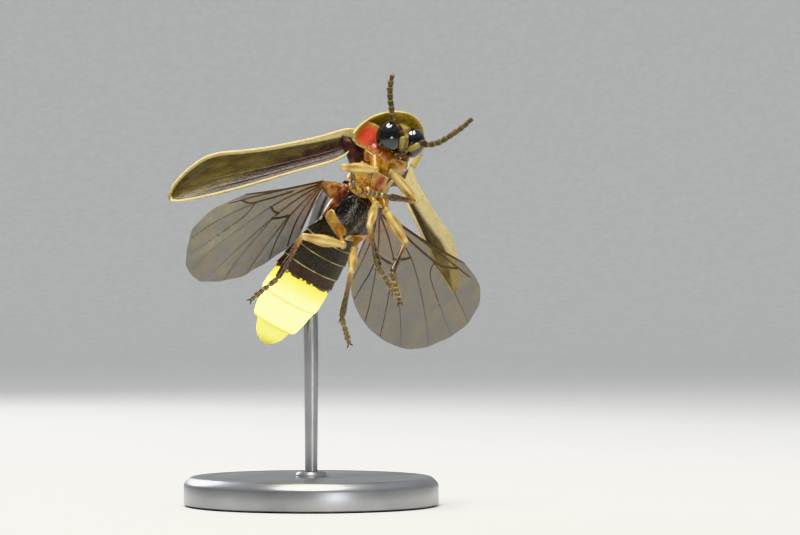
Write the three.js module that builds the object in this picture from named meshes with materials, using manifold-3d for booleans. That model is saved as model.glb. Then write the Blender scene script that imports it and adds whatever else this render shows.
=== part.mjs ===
// Firefly in flight, life size, on a small display stand.
// Millimetres, +Z up. The floor is z = 0 and the stand's centre is x = y = 0.
// The animal is built in its own frame first: +X to the head, +Y to its left, +Z to its back,
// with zero at the middle of the hind edge of the neck shield. One group then turns it into
// its flying pose. Nodes that grow from one another are parted by a thin flat or fitted gap.

import * as THREE from 'three'
import { LoftGeometry } from 'three/addons/geometries/LoftGeometry.js'
import { mergeVertices } from 'three/addons/utils/BufferGeometryUtils.js'
import manifoldModule from 'manifold-3d'

const kernel = await manifoldModule()
kernel.setup()
const { Manifold, Mesh } = kernel

// Driving sizes

// Gap between nodes, the thinner one round an eye in its socket, and the least thickness
const GAP = 0.3
const EYE_GAP = 0.2
const SKIN = 0.5
const deg = THREE.MathUtils.degToRad

// The flying pose: climb of the body line, bank towards the right side, lean of the head
const CLIMB = deg(57.5)
const BANK = deg(34)
const LEAN = deg(6)
const NECK_AT = new THREE.Vector3(3.95, -2.9, 19.4)

// Neck shield: length, half width, height of its dome and drop of its front rim
const SHIELD_LENGTH = 2.5
const SHIELD_HALF = 2.3
const SHIELD_CROWN = 1.05
const SHIELD_DROP = 0.45

// Head
const HEAD_AT = new THREE.Vector3(1.1, -0.09, -1.1)
const HEAD_NOD = deg(67)
const HEAD_TURN = deg(-15.6)
const HEAD_TILT = deg(-4)
const EYE_RADIUS = 0.7
const EYE_APART = 1.68

// Wings: the wing case's length, and the step of a vein above its membrane
const ELYTRON_LENGTH = 10.2
const VEIN_RISE = 0.09

// Stand
const BASE_RADIUS = 7
const BASE_HEIGHT = 1.6
const ROD_RADIUS = 0.35

// Helpers

const v3 = (x, y, z) => new THREE.Vector3(x, y, z)

// Makes a closed indexed shape with outward faces from any closed geometry.
function toSolid(geometry) {
  const plain = new THREE.BufferGeometry()
  plain.setAttribute('position', geometry.attributes.position)
  plain.setIndex(geometry.index)
  const bare = mergeVertices(plain, 1e-4)
  const mesh = new Mesh({
    numProp: 3,
    vertProperties: new Float32Array(bare.attributes.position.array),
    triVerts: new Uint32Array(bare.index.array),
  })
  mesh.merge()
  let solid = new Manifold(mesh)
  if (solid.volume() < 0) {
    const flipped = new Uint32Array(mesh.triVerts)
    for (let i = 0; i < flipped.length; i += 3) {
      const keep = flipped[i]
      flipped[i] = flipped[i + 1]
      flipped[i + 1] = keep
    }
    const turned = new Mesh({ numProp: 3, vertProperties: mesh.vertProperties, triVerts: flipped })
    turned.merge()
    solid = new Manifold(turned)
  }
  return solid
}

// A closed skin over rings of points, with its walls facing outward.
function loft(rings) {
  const middle = v3(0, 0, 0)
  rings[0].forEach((point) => middle.addScaledVector(point, 1 / rings[0].length))
  const next = v3(0, 0, 0)
  rings[1].forEach((point) => next.addScaledVector(point, 1 / rings[1].length))
  const area = v3(0, 0, 0)
  rings[0].forEach((point, i) => {
    const after = rings[0][(i + 1) % rings[0].length]
    area.add(point.clone().sub(middle).cross(after.clone().sub(middle)))
  })
  const outward = area.dot(next.sub(middle)) > 0
  const ordered = outward ? rings : rings.map((ring) => [...ring].reverse())
  return toSolid(new LoftGeometry(ordered, { capStart: true, capEnd: true }))
}

// Joins shapes, cuts others away and keeps the largest closed piece.
function join(shapes, cutters = []) {
  let whole = Manifold.union(shapes)
  if (cutters.length > 0) {
    whole = whole.subtract(Manifold.union(cutters))
  }
  const pieces = whole.decompose()
  pieces.sort((a, b) => b.volume() - a.volume())
  return pieces[0].simplify(0.004)
}

function toGeometry(solid) {
  const mesh = solid.getMesh()
  const geometry = new THREE.BufferGeometry()
  geometry.setAttribute('position', new THREE.BufferAttribute(new Float32Array(mesh.vertProperties), 3))
  geometry.setIndex(new THREE.BufferAttribute(new Uint32Array(mesh.triVerts), 1))
  geometry.computeVertexNormals()
  return geometry
}

// One closed ring round the body at a station: half width, back height and belly height.
function bodyRing(station, grow, sides) {
  const points = []
  const middle = (station.back + station.belly) / 2
  const power = 2 / (station.square ?? 2)
  for (let i = 0; i < sides; i++) {
    const turn = (i / sides) * Math.PI * 2
    const across = Math.cos(turn)
    const rise = Math.sin(turn)
    const y = Math.sign(across) * Math.abs(across) ** power * (station.half + grow)
    const reach = rise > 0 ? station.back - middle : middle - station.belly
    const z = Math.sign(rise) * Math.abs(rise) ** power * (reach + grow)
    points.push(v3(station.x, y + (station.side ?? 0), z + middle))
  }
  return points
}

// A body part from stations along the body.
function bodyLoft(stations, grow = 0, sides = 24) {
  const rings = stations.map((station) => bodyRing(station, grow, sides))
  rings[0].forEach((point) => point.add(v3(grow, 0, 0)))
  rings[rings.length - 1].forEach((point) => point.add(v3(-grow, 0, 0)))
  return loft(rings)
}

// A limb: round sections along a smooth line through its points.
function limb(points, radii, sides = 8, steps = 6, tension = 0.4) {
  const path = new THREE.CatmullRomCurve3(points, false, 'catmullrom', tension)
  const count = (points.length - 1) * steps
  const frames = path.computeFrenetFrames(count, false)
  const rings = []
  for (let i = 0; i <= count; i++) {
    const along = i / count
    const at = path.getPoint(along)
    const place = along * (radii.length - 1)
    const low = Math.min(Math.floor(place), radii.length - 2)
    const radius = THREE.MathUtils.lerp(radii[low], radii[low + 1], place - low)
    const ring = []
    for (let k = 0; k < sides; k++) {
      const turn = (k / sides) * Math.PI * 2
      const point = at.clone()
      point.addScaledVector(frames.normals[i], Math.cos(turn) * radius)
      point.addScaledVector(frames.binormals[i], Math.sin(turn) * radius)
      ring.push(point)
    }
    rings.push(ring)
  }
  return loft(rings)
}

// A jointed feeler or foot: each joint starts thin and ends thick, then steps in again.
function beaded(points, stops, thin, thick, sides = 8) {
  const path = new THREE.CatmullRomCurve3(points, false, 'catmullrom', 0.4)
  const marks = []
  for (let i = 0; i < stops.length - 1; i++) {
    const span = stops[i + 1] - stops[i]
    marks.push([stops[i] + 0.03 * span, thin], [stops[i] + 0.75 * span, thick], [stops[i] + 0.93 * span, thick * 0.9])
  }
  const rings = []
  const up = v3(0.1, 0.2, 1).normalize()
  for (const [along, radius] of marks) {
    const at = path.getPointAt(along)
    const way = path.getTangentAt(along)
    const side = way.clone().cross(up).normalize()
    const rise = side.clone().cross(way).normalize()
    const ring = []
    for (let k = 0; k < sides; k++) {
      const turn = (k / sides) * Math.PI * 2
      const point = at.clone().addScaledVector(side, Math.cos(turn) * radius)
      ring.push(point.addScaledVector(rise, Math.sin(turn) * radius))
    }
    rings.push(ring)
  }
  return loft(rings)
}

// A round or egg-shaped form.
function ball(at, rx, ry, rz, around = 16, up = 10) {
  const geometry = new THREE.SphereGeometry(1, around, up)
  geometry.scale(rx, ry, rz)
  geometry.translate(at.x, at.y, at.z)
  return toSolid(geometry)
}

function paint(hex, roughness, metalness = 0) {
  return new THREE.MeshStandardMaterial({ color: hex, roughness, metalness })
}

function node(name, solid, material) {
  const mesh = new THREE.Mesh(toGeometry(solid), material)
  mesh.name = name
  return mesh
}

// Colours

const OLIVE = 0x8a7a34
const AMBER = 0xc8902c
const STRAW = 0xe0c878
const PITCH = 0x1c140c
const GLOW = 0xf6f060
const SMOKE = 0x6e6648
const BLACK = 0x080808
const CHESTNUT = 0x4a3020
const UMBER = 0x5c5426
const STEEL = 0xa6a6a4

// Body stations, from the head end to the tail. A pair of stations close together is the step
// at the hind edge of a ring.

const PROTHORAX = [
  { x: 0.45, half: 0.8, back: 0.3, belly: -1.15 },
  { x: 0.15, half: 1.2, back: 0.35, belly: -1.45 },
  { x: -0.35, half: 1.35, back: 0.25, belly: -1.6 },
  { x: -0.75, half: 1.2, back: 0.15, belly: -1.45 },
]
const MESOTHORAX = [
  { x: -0.75 - GAP, half: 1.0, back: 0.1, belly: -1.15 },
  { x: -1.5, half: 1.2, back: 0.36, belly: -1.25 },
  { x: -2.35, half: 1.34, back: 0.4, belly: -1.5 },
]
const METATHORAX = [
  { x: -2.35 - GAP, half: 1.36, back: 0.42, belly: -1.6 },
  { x: -3.3, half: 1.42, back: 0.44, belly: -1.78 },
  { x: -4.3, half: 1.42, back: 0.4, belly: -1.75 },
  { x: -4.85, half: 1.3, back: 0.3, belly: -1.5 },
]
const ABDOMEN = [
  { x: -4.85 - GAP, half: 1.4, back: 0.15, belly: -1.2, side: -0.05, square: 2.3 },
  { x: -5.7, half: 1.6, back: 0.2, belly: -1.16, side: -0.1, square: 2.3 },
  { x: -5.73, half: 1.54, back: 0.14, belly: -1.08, side: -0.1, square: 2.3 },
  { x: -6.5, half: 1.74, back: 0.2, belly: -1.12, side: -0.15, square: 2.3 },
  { x: -6.53, half: 1.68, back: 0.14, belly: -1.04, side: -0.15, square: 2.3 },
  { x: -7.4, half: 1.86, back: 0.19, belly: -1.1, side: -0.2, square: 2.3 },
  { x: -7.43, half: 1.8, back: 0.14, belly: -1.02, side: -0.2, square: 2.3 },
  { x: -7.65, half: 1.82, back: 0.14, belly: -1.02, side: -0.2, square: 2.3 },
]
const LANTERN = [
  { x: -7.65 - GAP, half: 1.84, back: 0.14, belly: -0.98, side: -0.22, square: 2.3 },
  { x: -8.2, half: 1.92, back: 0.16, belly: -1.04, side: -0.24, square: 2.3 },
  { x: -8.23, half: 1.86, back: 0.12, belly: -1.0, side: -0.24, square: 2.3 },
  { x: -9.6, half: 1.86, back: 0.1, belly: -1.05, side: -0.28, square: 2.3 },
  { x: -9.63, half: 1.76, back: 0.05, belly: -1.0, side: -0.28, square: 2.3 },
  { x: -10.95, half: 1.42, back: 0.0, belly: -0.98, side: -0.26, square: 2.3 },
]
const TAIL = [
  { x: -10.95 - GAP, half: 1.22, back: -0.08, belly: -0.88, side: -0.24, square: 2.2 },
  { x: -11.75, half: 0.95, back: -0.15, belly: -0.85, side: -0.18, square: 2.2 },
  { x: -12.15, half: 0.55, back: -0.25, belly: -0.75, side: -0.14, square: 2 },
]

// The neck shield: rows across from the hind edge forward. Each row is domed in its middle
// and flattens out to a thin rim, and the rim sinks towards the front.
function shieldHalf(along) {
  return SHIELD_HALF * Math.max(1 - along ** 2, 0.002) ** 0.56
}

function shieldRow(along, grow) {
  const end = along === 0 ? -grow : 0
  const x = SHIELD_LENGTH * along + end
  const half = shieldHalf(along) + grow
  const upper = []
  const lower = []
  const columns = 14
  for (let i = 0; i <= columns; i++) {
    const across = -1 + (2 * i) / columns
    const y = across * half
    const dome = SHIELD_CROWN * (1 - across ** 2) * (1 - along ** 2.6)
    const z = dome - 0.2 - SHIELD_DROP * along ** 2
    upper.push(v3(x, y, z + SKIN / 2 + grow))
    lower.push(v3(x, y, z - SKIN / 2 - grow))
  }
  return upper.concat(lower.reverse())
}

function shield(grow = 0) {
  const rows = []
  for (const along of [0, 0.15, 0.32, 0.5, 0.66, 0.8, 0.9, 0.96, 1]) {
    rows.push(shieldRow(along, grow))
  }
  return loft(rows)
}

// The head has a frame of its own: +X face, +Y left, +Z crown.
const headPose = new THREE.Matrix4().makeRotationZ(HEAD_TURN)
headPose.multiply(new THREE.Matrix4().makeRotationY(HEAD_NOD))
headPose.multiply(new THREE.Matrix4().makeRotationX(HEAD_TILT))
headPose.setPosition(HEAD_AT)

function headFrame(solid) {
  return solid.transform(headPose.toArray())
}

function headPoint(x, y, z) {
  return v3(x, y, z).applyMatrix4(headPose)
}

function eyeBall(side, grow) {
  const at = v3(0.05, (side * EYE_APART) / 2, -0.02)
  return ball(at, EYE_RADIUS + grow, EYE_RADIUS + 0.02 + grow, EYE_RADIUS + 0.12 + grow, 20, 14)
}

function headShape(grow = 0) {
  const skull = ball(v3(-0.25, 0, 0.05), 0.7 + grow, 0.96 + grow, 0.84 + grow, 20, 12)
  const snout = ball(v3(0.2, 0, -0.68), 0.36 + grow, 0.38 + grow, 0.42 + grow, 14, 8)
  return [skull, snout]
}

const headWhole = headFrame(join([...headShape(GAP), eyeBall(1, GAP), eyeBall(-1, GAP)]))
const head = headFrame(join(headShape(), [eyeBall(1, EYE_GAP), eyeBall(-1, EYE_GAP)]))
const eyeLeft = headFrame(eyeBall(1, 0))
const eyeRight = headFrame(eyeBall(-1, 0))

// Two short feelers beside the mouth, with the jaws between them
const mouthparts = headFrame(join([
  limb([v3(0.42, 0, -1.0), v3(0.52, 0, -1.24)], [0.28, 0.25]),
  limb([v3(0.46, 0.1, -1.08), v3(0.64, 0.42, -1.12), v3(0.66, 0.42, -1.4)], [0.25, 0.23, 0.18]),
  limb([v3(0.46, -0.1, -1.08), v3(0.64, -0.42, -1.12), v3(0.66, -0.42, -1.4)], [0.25, 0.23, 0.18]),
], headShape(GAP)))

// Antennae: a long first joint and ten short ones, each a little wider at its far end
function antenna(points) {
  const stops = [0, 0.17]
  for (let i = 1; i <= 10; i++) {
    stops.push(0.17 + 0.083 * i)
  }
  return join([beaded(points, stops, 0.2, 0.27)], [headWhole])
}

const antennaRight = antenna([
  headPoint(0.76, -0.42, 0.1), v3(1.82, -1.2, -1.34), v3(2.15, -1.55, -1.2), v3(2.75, -2.1, -1.1),
  v3(3.3, -2.5, -1.1), v3(3.9, -2.85, -1.25),
])
const antennaLeft = antenna([
  headPoint(0.84, 0.88, 0.02), headPoint(0.9, 1.12, -0.08), v3(2.05, 1.35, -2.2), v3(2.5, 1.6, -2.25),
  v3(3.25, 2.0, -2.25), v3(4.05, 2.4, -2.1),
])

// Legs

const thoraxGrown = [
  bodyLoft(PROTHORAX, GAP), bodyLoft(MESOTHORAX, GAP), bodyLoft(METATHORAX, GAP), bodyLoft(ABDOMEN, GAP),
  bodyLoft(LANTERN, GAP),
]

// One leg as a whole: hip, thigh, shin and five foot joints that end in two claws.
function leg(hips, hang, knee, ankle, toe, thick, hip = 0.42) {
  const parts = []
  const thigh = [hang, hang.clone().lerp(knee, 0.5), knee]
  const foot = [ankle, ankle.clone().lerp(toe, 0.5), toe]
  parts.push(limb([...hips, hang], [hip, 0.27], 10, 3))
  parts.push(ball(hang, 0.27, 0.27, 0.27, 8, 6))
  parts.push(limb(thigh, [0.25, thick, 0.25], 9, 3))
  parts.push(ball(knee, 0.27, 0.27, 0.27, 8, 6))
  parts.push(limb([knee, ankle], [0.25, 0.27], 8, 2))
  parts.push(ball(ankle, 0.26, 0.26, 0.26, 8, 6))
  parts.push(beaded(foot, [0, 0.3, 0.5, 0.66, 0.8, 1], 0.19, 0.26))
  const out = toe.clone().sub(ankle).normalize()
  const side = out.clone().cross(v3(0, 0, 1)).normalize()
  for (const way of [-1, 1]) {
    const tip = toe.clone().addScaledVector(out, 0.25).addScaledVector(side, 0.22 * way)
    parts.push(limb([toe, tip], [0.18, 0.06], 5, 1))
  }
  return join(parts, thoraxGrown)
}

const LEGS = {
  leg_front_right: leg([v3(-0.3, -0.75, -1.2)], v3(-0.95, -1.03, -2.0), v3(-1.66, -2.89, -2.04),
    v3(-1.62, -1.6, -1.0), v3(-2.33, -1.42, -1.7), 0.34),
  leg_front_left: leg([v3(-0.25, 0.5, -1.3)], v3(-0.6, 0.02, -1.82), v3(-1.25, 1.65, -2.95),
    v3(-1.73, -0.14, -3.17), v3(-2.15, -1.65, -3.12), 0.32),
  leg_middle_right: leg([v3(-2.05, -0.5, -1.6)], v3(-2.5, -0.22, -2.6), v3(-3.55, -0.8, -4.15),
    v3(-5.13, 0.7, -4.75), v3(-5.88, 2.25, -4.8), 0.34, 0.38),
  leg_middle_left: leg([v3(-2.05, 0.62, -1.6)], v3(-2.5, 0.55, -2.6), v3(-3.35, 1.75, -4.05),
    v3(-4.93, 1.05, -5.55), v3(-6.0, 1.8, -6.55), 0.34, 0.38),
  leg_hind_right: leg([v3(-4.5, -0.8, -1.35), v3(-4.9, -0.55, -1.72)], v3(-5.3, -0.35, -2.2),
    v3(-6.0, -2.5, -1.7), v3(-8.6, -2.65, -2.1), v3(-10.3, -3.2, -1.9), 0.36, 0.36),
  leg_hind_left: leg([v3(-4.5, 0.85, -1.35), v3(-4.85, 0.6, -1.72)], v3(-5.25, 0.45, -2.2),
    v3(-6.1, -0.3, -4.25), v3(-8.5, 0.7, -4.3), v3(-9.6, 2.1, -4.2), 0.36, 0.36),
}

// Wings

// Reads a smooth line through a few stops at one place along the span.
function lineAt(stops, along) {
  const curve = new THREE.SplineCurve(stops.map(([x, y]) => new THREE.Vector2(x, y)))
  let low = 0
  let high = 1
  for (let i = 0; i < 24; i++) {
    const half = (low + high) / 2
    if (curve.getPoint(half).x < along) {
      low = half
    } else {
      high = half
    }
  }
  return curve.getPoint((low + high) / 2).y
}

// A wing case: rows along the span from a front line to a hind line, with raised ribs.
function elytron(grow = 0) {
  const rows = []
  for (const along of ELYTRON.rows) {
    const front = lineAt(ELYTRON.front, along) + grow
    const hind = lineAt(ELYTRON.hind, along) - grow
    const end = along === 0 ? -grow : along === 1 ? grow : 0
    const far = along * ELYTRON_LENGTH + end
    const upper = []
    const lower = []
    for (const [across, ridge] of ELYTRON.columns) {
      const y = THREE.MathUtils.lerp(front, hind, across)
      const x = far - ELYTRON.shoulder * Math.exp(-along / 0.05) * (1 - across)
      const arch = ELYTRON.arch * (1 - (2 * across - 1) ** 2) - ELYTRON.droop * along ** 2
      const raised = ridge * ELYTRON.ridge * (1 - 0.5 * along)
      upper.push(v3(x, y, arch + SKIN / 2 + raised + grow))
      lower.push(v3(x, y, arch - SKIN / 2 - raised - grow))
    }
    rows.push(upper.concat(lower.reverse()))
  }
  return loft(rows)
}

// A flying wing: rays that fan out from the root to the margin, some of them raised as veins.
function hindWing(grow = 0) {
  const rays = []
  const [first, last] = [HIND_WING.reach[0][0], HIND_WING.reach.at(-1)[0]]
  for (const [angle, ridge] of HIND_WING.rays) {
    const upper = []
    const lower = []
    const across = (angle - first) / (last - first)
    const reach = lineAt(HIND_WING.reach, angle)
    const side = across === 0 ? grow : across === 1 ? -grow : 0
    for (const share of HIND_WING.shares) {
      const turn = deg(-angle - HIND_WING.curl * (1 - share) * (1 - 2 * across))
      const along = THREE.MathUtils.lerp(HIND_WING.neck, reach, share) + (share === 1 ? grow : 0)
      const back = HIND_WING.neck - 0.2 + (share === 0 ? grow : 0)
      const arch = HIND_WING.arch * (1 - (2 * across - 1) ** 2) * share - HIND_WING.droop * share ** 2
      const half = SKIN / 2 + ridge * VEIN_RISE * (1 - 0.5 * share) + grow
      const x = Math.cos(turn) * along - Math.sin(turn) * side - back
      const y = Math.sin(turn) * along + Math.cos(turn) * side
      upper.push(v3(x, y, arch + half))
      lower.push(v3(x, y, arch - half))
    }
    rays.push(upper.concat(lower.reverse()))
  }
  return loft(rays)
}

// Places a wing: root, sweep in plan, rise out of plan and twist about the span.
function wingFrame(solid, mirrored, root, sweep, rise, twist) {
  const turn = new THREE.Matrix4().makeRotationZ(sweep)
  turn.multiply(new THREE.Matrix4().makeRotationY(-rise))
  turn.multiply(new THREE.Matrix4().makeRotationX(twist))
  turn.setPosition(root)
  const shape = mirrored ? solid.mirror([0, 1, 0]) : solid
  return shape.transform(turn.toArray())
}

// Columns for raised lines at the given places, each with a foot on both sides.
function ribs(first, places, last, foot) {
  const columns = [[first, 0]]
  for (const place of places) {
    columns.push([place - foot, 0], [place, 1], [place + foot, 0])
  }
  columns.push([last, 0])
  return columns
}

const ELYTRON = {
  rows: [0, 0.025, 0.06, 0.12, 0.22, 0.34, 0.46, 0.58, 0.68, 0.77, 0.85, 0.92, 0.97, 1],
  front: [[0, 0.62], [0.025, 0.93], [0.06, 0.98], [0.15, 0.97], [0.29, 1.05], [0.43, 1.17], [0.57, 1.38],
    [0.68, 1.58], [0.76, 1.56], [0.83, 1.32], [0.9, 0.98], [0.96, 0.55], [1, 0.1]],
  hind: [[0, 0], [0.025, -0.34], [0.06, -0.52], [0.15, -0.62], [0.3, -0.62], [0.5, -0.65], [0.7, -0.66],
    [0.8, -0.62], [0.91, -0.53], [0.97, -0.42], [1, -0.25]],
  columns: ribs(0, [0.1, 0.38, 0.62, 0.9], 1, 0.04),
  arch: 0.3,
  droop: 0.35,
  ridge: 0.06,
  shoulder: 0.55,
}

// Angles in degrees back from the span line, with the reach of the wing along each of them
const HIND_WING = {
  shares: [0, 0.15, 0.32, 0.5, 0.67, 0.84, 1],
  neck: 0.6,
  reach: [[-27, 6.4], [-24, 7.7], [-18, 8.9], [-12, 9.4], [-4, 9.6], [7, 9.5], [16, 8.9],
    [25, 7.75], [33, 6.5], [40, 5.2], [46, 3.9]],
  rays: ribs(-27, [-23, -15, -4, 8, 20, 32], 46, 1.4),
  curl: 8,
  arch: 0.25,
  droop: 0.3,
}

const WINGS = {
  elytron_right: { shape: elytron, root: v3(-0.62, -1.8, 0.12), turn: [-139.3, 14, 38] },
  elytron_left: { shape: elytron, root: v3(-0.68, 1.95, 0.05), turn: [117.4, 15, -36] },
  hind_wing_right: { shape: hindWing, root: v3(-3.0, -1.85, 0.2), turn: [-142, -8, -22] },
  hind_wing_left: { shape: hindWing, root: v3(-3.0, 1.85, 0.1), turn: [119.5, -3, 8] },
}

// The shoulder that carries a wing: it belongs to the body and faces the wing's root.
function shoulder(from, name) {
  return limb([from, WINGS[name].root.clone().lerp(from, 0.1)], [0.55, 0.45], 12, 2)
}

// The shield's margin folds inward below each flank of the first ring.
function sideFold(side) {
  return ball(v3(0.26, side * 1.3, -0.42), 0.66, 0.46, 0.3, 14, 8)
}

// The small triangular plate on the back between the wing cases
function scutellum() {
  const plate = (front, half, tip, z) => [v3(front, -half, z), v3(front, half, z), v3(tip, 0, z)]
  return loft([plate(-1.1, 0.62, -2.25, 0.1), plate(-1.15, 0.55, -2.1, 0.54)])
}

function placed(name, grow = 0) {
  const { shape, root, turn } = WINGS[name]
  const [sweep, rise, twist] = turn.map(deg)
  return wingFrame(shape(grow), name.endsWith('left'), root, sweep, rise, twist)
}

const body = new THREE.Group()
body.name = 'firefly'

const torso = new THREE.Group()
torso.name = 'torso'
torso.add(
  node('pronotum', shield(), paint(OLIVE, 0.6)),
  node('prothorax', join([
    bodyLoft(PROTHORAX),
    sideFold(1),
    sideFold(-1),
  ], [
    headWhole,
    shield(GAP),
    placed('elytron_right', GAP),
    placed('elytron_left', GAP),
  ]), paint(AMBER, 0.4)),
  node('mesothorax', join([
    bodyLoft(MESOTHORAX),
    scutellum(),
    shoulder(v3(-1.6, -0.7, 0), 'elytron_right'),
    shoulder(v3(-1.6, 0.7, 0), 'elytron_left'),
  ], [
    bodyLoft(PROTHORAX, GAP),
    shield(GAP),
    placed('elytron_right', GAP),
    placed('elytron_left', GAP),
  ]), paint(AMBER, 0.35)),
  node('metathorax', join([
    bodyLoft(METATHORAX),
    shoulder(v3(-3.3, -0.8, -0.1), 'hind_wing_right'),
    shoulder(v3(-3.3, 0.8, -0.1), 'hind_wing_left'),
  ], [
    placed('hind_wing_right', GAP),
    placed('hind_wing_left', GAP),
    placed('elytron_right', GAP),
    placed('elytron_left', GAP),
  ]), paint(PITCH, 0.25)),
  node('abdomen', bodyLoft(ABDOMEN), paint(PITCH, 0.3)),
  node('lantern', bodyLoft(LANTERN), paint(GLOW, 0.4)),
  node('abdomen_tip', bodyLoft(TAIL), paint(GLOW, 0.4)),
)

const headGroup = new THREE.Group()
headGroup.name = 'head_group'
headGroup.add(
  node('head', head, paint(OLIVE, 0.45)),
  node('eye_right', eyeRight, paint(BLACK, 0.08)),
  node('eye_left', eyeLeft, paint(BLACK, 0.08)),
  node('mouthparts', mouthparts, paint(CHESTNUT, 0.35)),
  node('antenna_right', antennaRight, paint(UMBER, 0.5)),
  node('antenna_left', antennaLeft, paint(UMBER, 0.5)),
)

const legGroup = new THREE.Group()
legGroup.name = 'legs'
for (const [name, solid] of Object.entries(LEGS)) {
  legGroup.add(node(name, solid, paint(STRAW, 0.4)))
}

const wingGroup = new THREE.Group()
wingGroup.name = 'wings'
for (const name of Object.keys(WINGS)) {
  const material = name.startsWith('elytron') ? paint(OLIVE, 0.5) : paint(SMOKE, 0.35)
  wingGroup.add(node(name, join([placed(name)], [shield(GAP)]), material))
}

body.add(torso, headGroup, legGroup, wingGroup)

// The pose: the body line climbs to the right and the belly turns towards the viewer.
const toViewer = v3(0, -1, 0)
const line = v3(Math.cos(CLIMB), 0, Math.sin(CLIMB))
const beside = v3(Math.sin(CLIMB), 0, -Math.cos(CLIMB))
const ahead = line.clone().multiplyScalar(Math.cos(LEAN)).addScaledVector(toViewer, Math.sin(LEAN))
const under = line.clone().multiplyScalar(-Math.sin(LEAN)).addScaledVector(toViewer, Math.cos(LEAN))
const leftward = beside.clone().multiplyScalar(Math.cos(BANK)).addScaledVector(under, -Math.sin(BANK))
const backward = ahead.clone().cross(leftward)
const pose = new THREE.Matrix4().makeBasis(ahead, leftward, backward)
body.rotation.setFromRotationMatrix(pose)
body.position.copy(NECK_AT)

// The stand: a round base and one rod that comes up behind and meets the back.
const meet = v3(-3.6, -0.05, 0.39 + GAP).applyMatrix4(pose).add(NECK_AT)
const away = backward.clone()
const bend = meet.clone().addScaledVector(away, 2.6)
const rodTop = limb([
  v3(0, 0, BASE_HEIGHT + GAP), v3(0, 0, 8), v3(0, 0, bend.z - 3.5), bend.clone().lerp(meet, 0.35), meet,
], [ROD_RADIUS, ROD_RADIUS], 12, 5, 0.5)

const baseShape = new THREE.LatheGeometry([
  new THREE.Vector2(0, 0),
  new THREE.Vector2(BASE_RADIUS - 0.2, 0),
  new THREE.Vector2(BASE_RADIUS, 0.2),
  new THREE.Vector2(BASE_RADIUS, BASE_HEIGHT - 0.4),
  new THREE.Vector2(BASE_RADIUS - 0.4, BASE_HEIGHT),
  new THREE.Vector2(0, BASE_HEIGHT),
], 48)
baseShape.rotateX(Math.PI / 2)

const stand = new THREE.Group()
stand.name = 'stand'
stand.add(
  node('stand_base', toSolid(baseShape), paint(STEEL, 0.35, 1)),
  node('stand_rod', rodTop, paint(STEEL, 0.3, 1)),
)

const firefly = new THREE.Group()
firefly.name = 'firefly_on_stand'
firefly.add(body, stand)

export default firefly
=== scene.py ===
# %% [markdown]
# # A firefly in flight, at life size
#
# This lesson dresses a small solid model of a firefly. The animal flies with its wing cases and
# hind wings spread, its legs hanging and its lantern lit, and a steel stand holds it up.
# The solid model gives every part its place and size. The lesson makes the surfaces that the
# eye sees: plates, veins, joints, hairs and their finishes.
#
# Every piece is a surface worked out with numpy as whole arrays. Lengths are in millimetres
# while a piece is being shaped, and become metres when its mesh is made.

import bpy
import numpy as np
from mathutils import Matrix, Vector


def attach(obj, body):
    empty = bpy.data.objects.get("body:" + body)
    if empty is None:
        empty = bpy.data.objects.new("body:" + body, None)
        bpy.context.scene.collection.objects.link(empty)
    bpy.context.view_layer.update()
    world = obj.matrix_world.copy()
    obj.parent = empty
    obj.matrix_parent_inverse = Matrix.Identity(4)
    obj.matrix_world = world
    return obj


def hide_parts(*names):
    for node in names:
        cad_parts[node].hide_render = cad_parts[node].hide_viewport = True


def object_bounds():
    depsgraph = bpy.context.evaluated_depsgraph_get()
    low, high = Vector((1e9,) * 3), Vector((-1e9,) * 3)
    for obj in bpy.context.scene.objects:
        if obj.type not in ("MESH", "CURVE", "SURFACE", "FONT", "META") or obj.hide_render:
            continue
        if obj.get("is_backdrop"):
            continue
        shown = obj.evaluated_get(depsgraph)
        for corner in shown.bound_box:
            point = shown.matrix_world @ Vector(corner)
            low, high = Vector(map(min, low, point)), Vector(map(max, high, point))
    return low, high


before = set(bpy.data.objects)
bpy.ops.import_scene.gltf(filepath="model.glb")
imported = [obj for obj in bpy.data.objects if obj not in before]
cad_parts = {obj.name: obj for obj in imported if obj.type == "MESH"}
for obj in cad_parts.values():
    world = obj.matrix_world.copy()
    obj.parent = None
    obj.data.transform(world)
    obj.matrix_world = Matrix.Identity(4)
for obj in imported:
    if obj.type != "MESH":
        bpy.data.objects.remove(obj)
cad_low, cad_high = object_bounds()
cad_size = [round((high - low) * 1000, 2) for low, high in zip(cad_low, cad_high)]
print("solid parts:", len(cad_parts), "box in mm:", cad_size)

# %% [markdown]
# ## The animal's own frame
#
# A flying insect is easier to shape along its own body than in the world: forward to the head,
# left, and up through its back. Three angles then turn that frame into the pose. The body line
# climbs, leans a little towards the viewer, and banks so that the belly shows.

# %% The pose
MM = 0.001
NECK_AT = np.array([3.95, -2.9, 19.4])
CLIMB, BANK, LEAN = np.radians([57.5, 34.0, 6.0])


def pose_axes():
    """Columns: the animal's forward, left and up directions in the world.

    The body line rises by the climb and leans out by the lean. The left side is the level
    direction beside that line, turned about it by the bank. Up is forward cross left."""
    viewer = np.array([0.0, -1.0, 0.0])
    line = np.array([np.cos(CLIMB), 0.0, np.sin(CLIMB)])
    beside = np.array([np.sin(CLIMB), 0.0, -np.cos(CLIMB)])
    ahead = line * np.cos(LEAN) + viewer * np.sin(LEAN)
    under = viewer * np.cos(LEAN) - line * np.sin(LEAN)
    left = beside * np.cos(BANK) - under * np.sin(BANK)
    return np.stack([ahead, left, np.cross(ahead, left)], axis=1)


AXES = pose_axes()


def body_place(points):
    """World place in millimetres: the neck's place plus the axes times the point."""
    return NECK_AT + np.asarray(points, float) @ AXES.T


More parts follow.
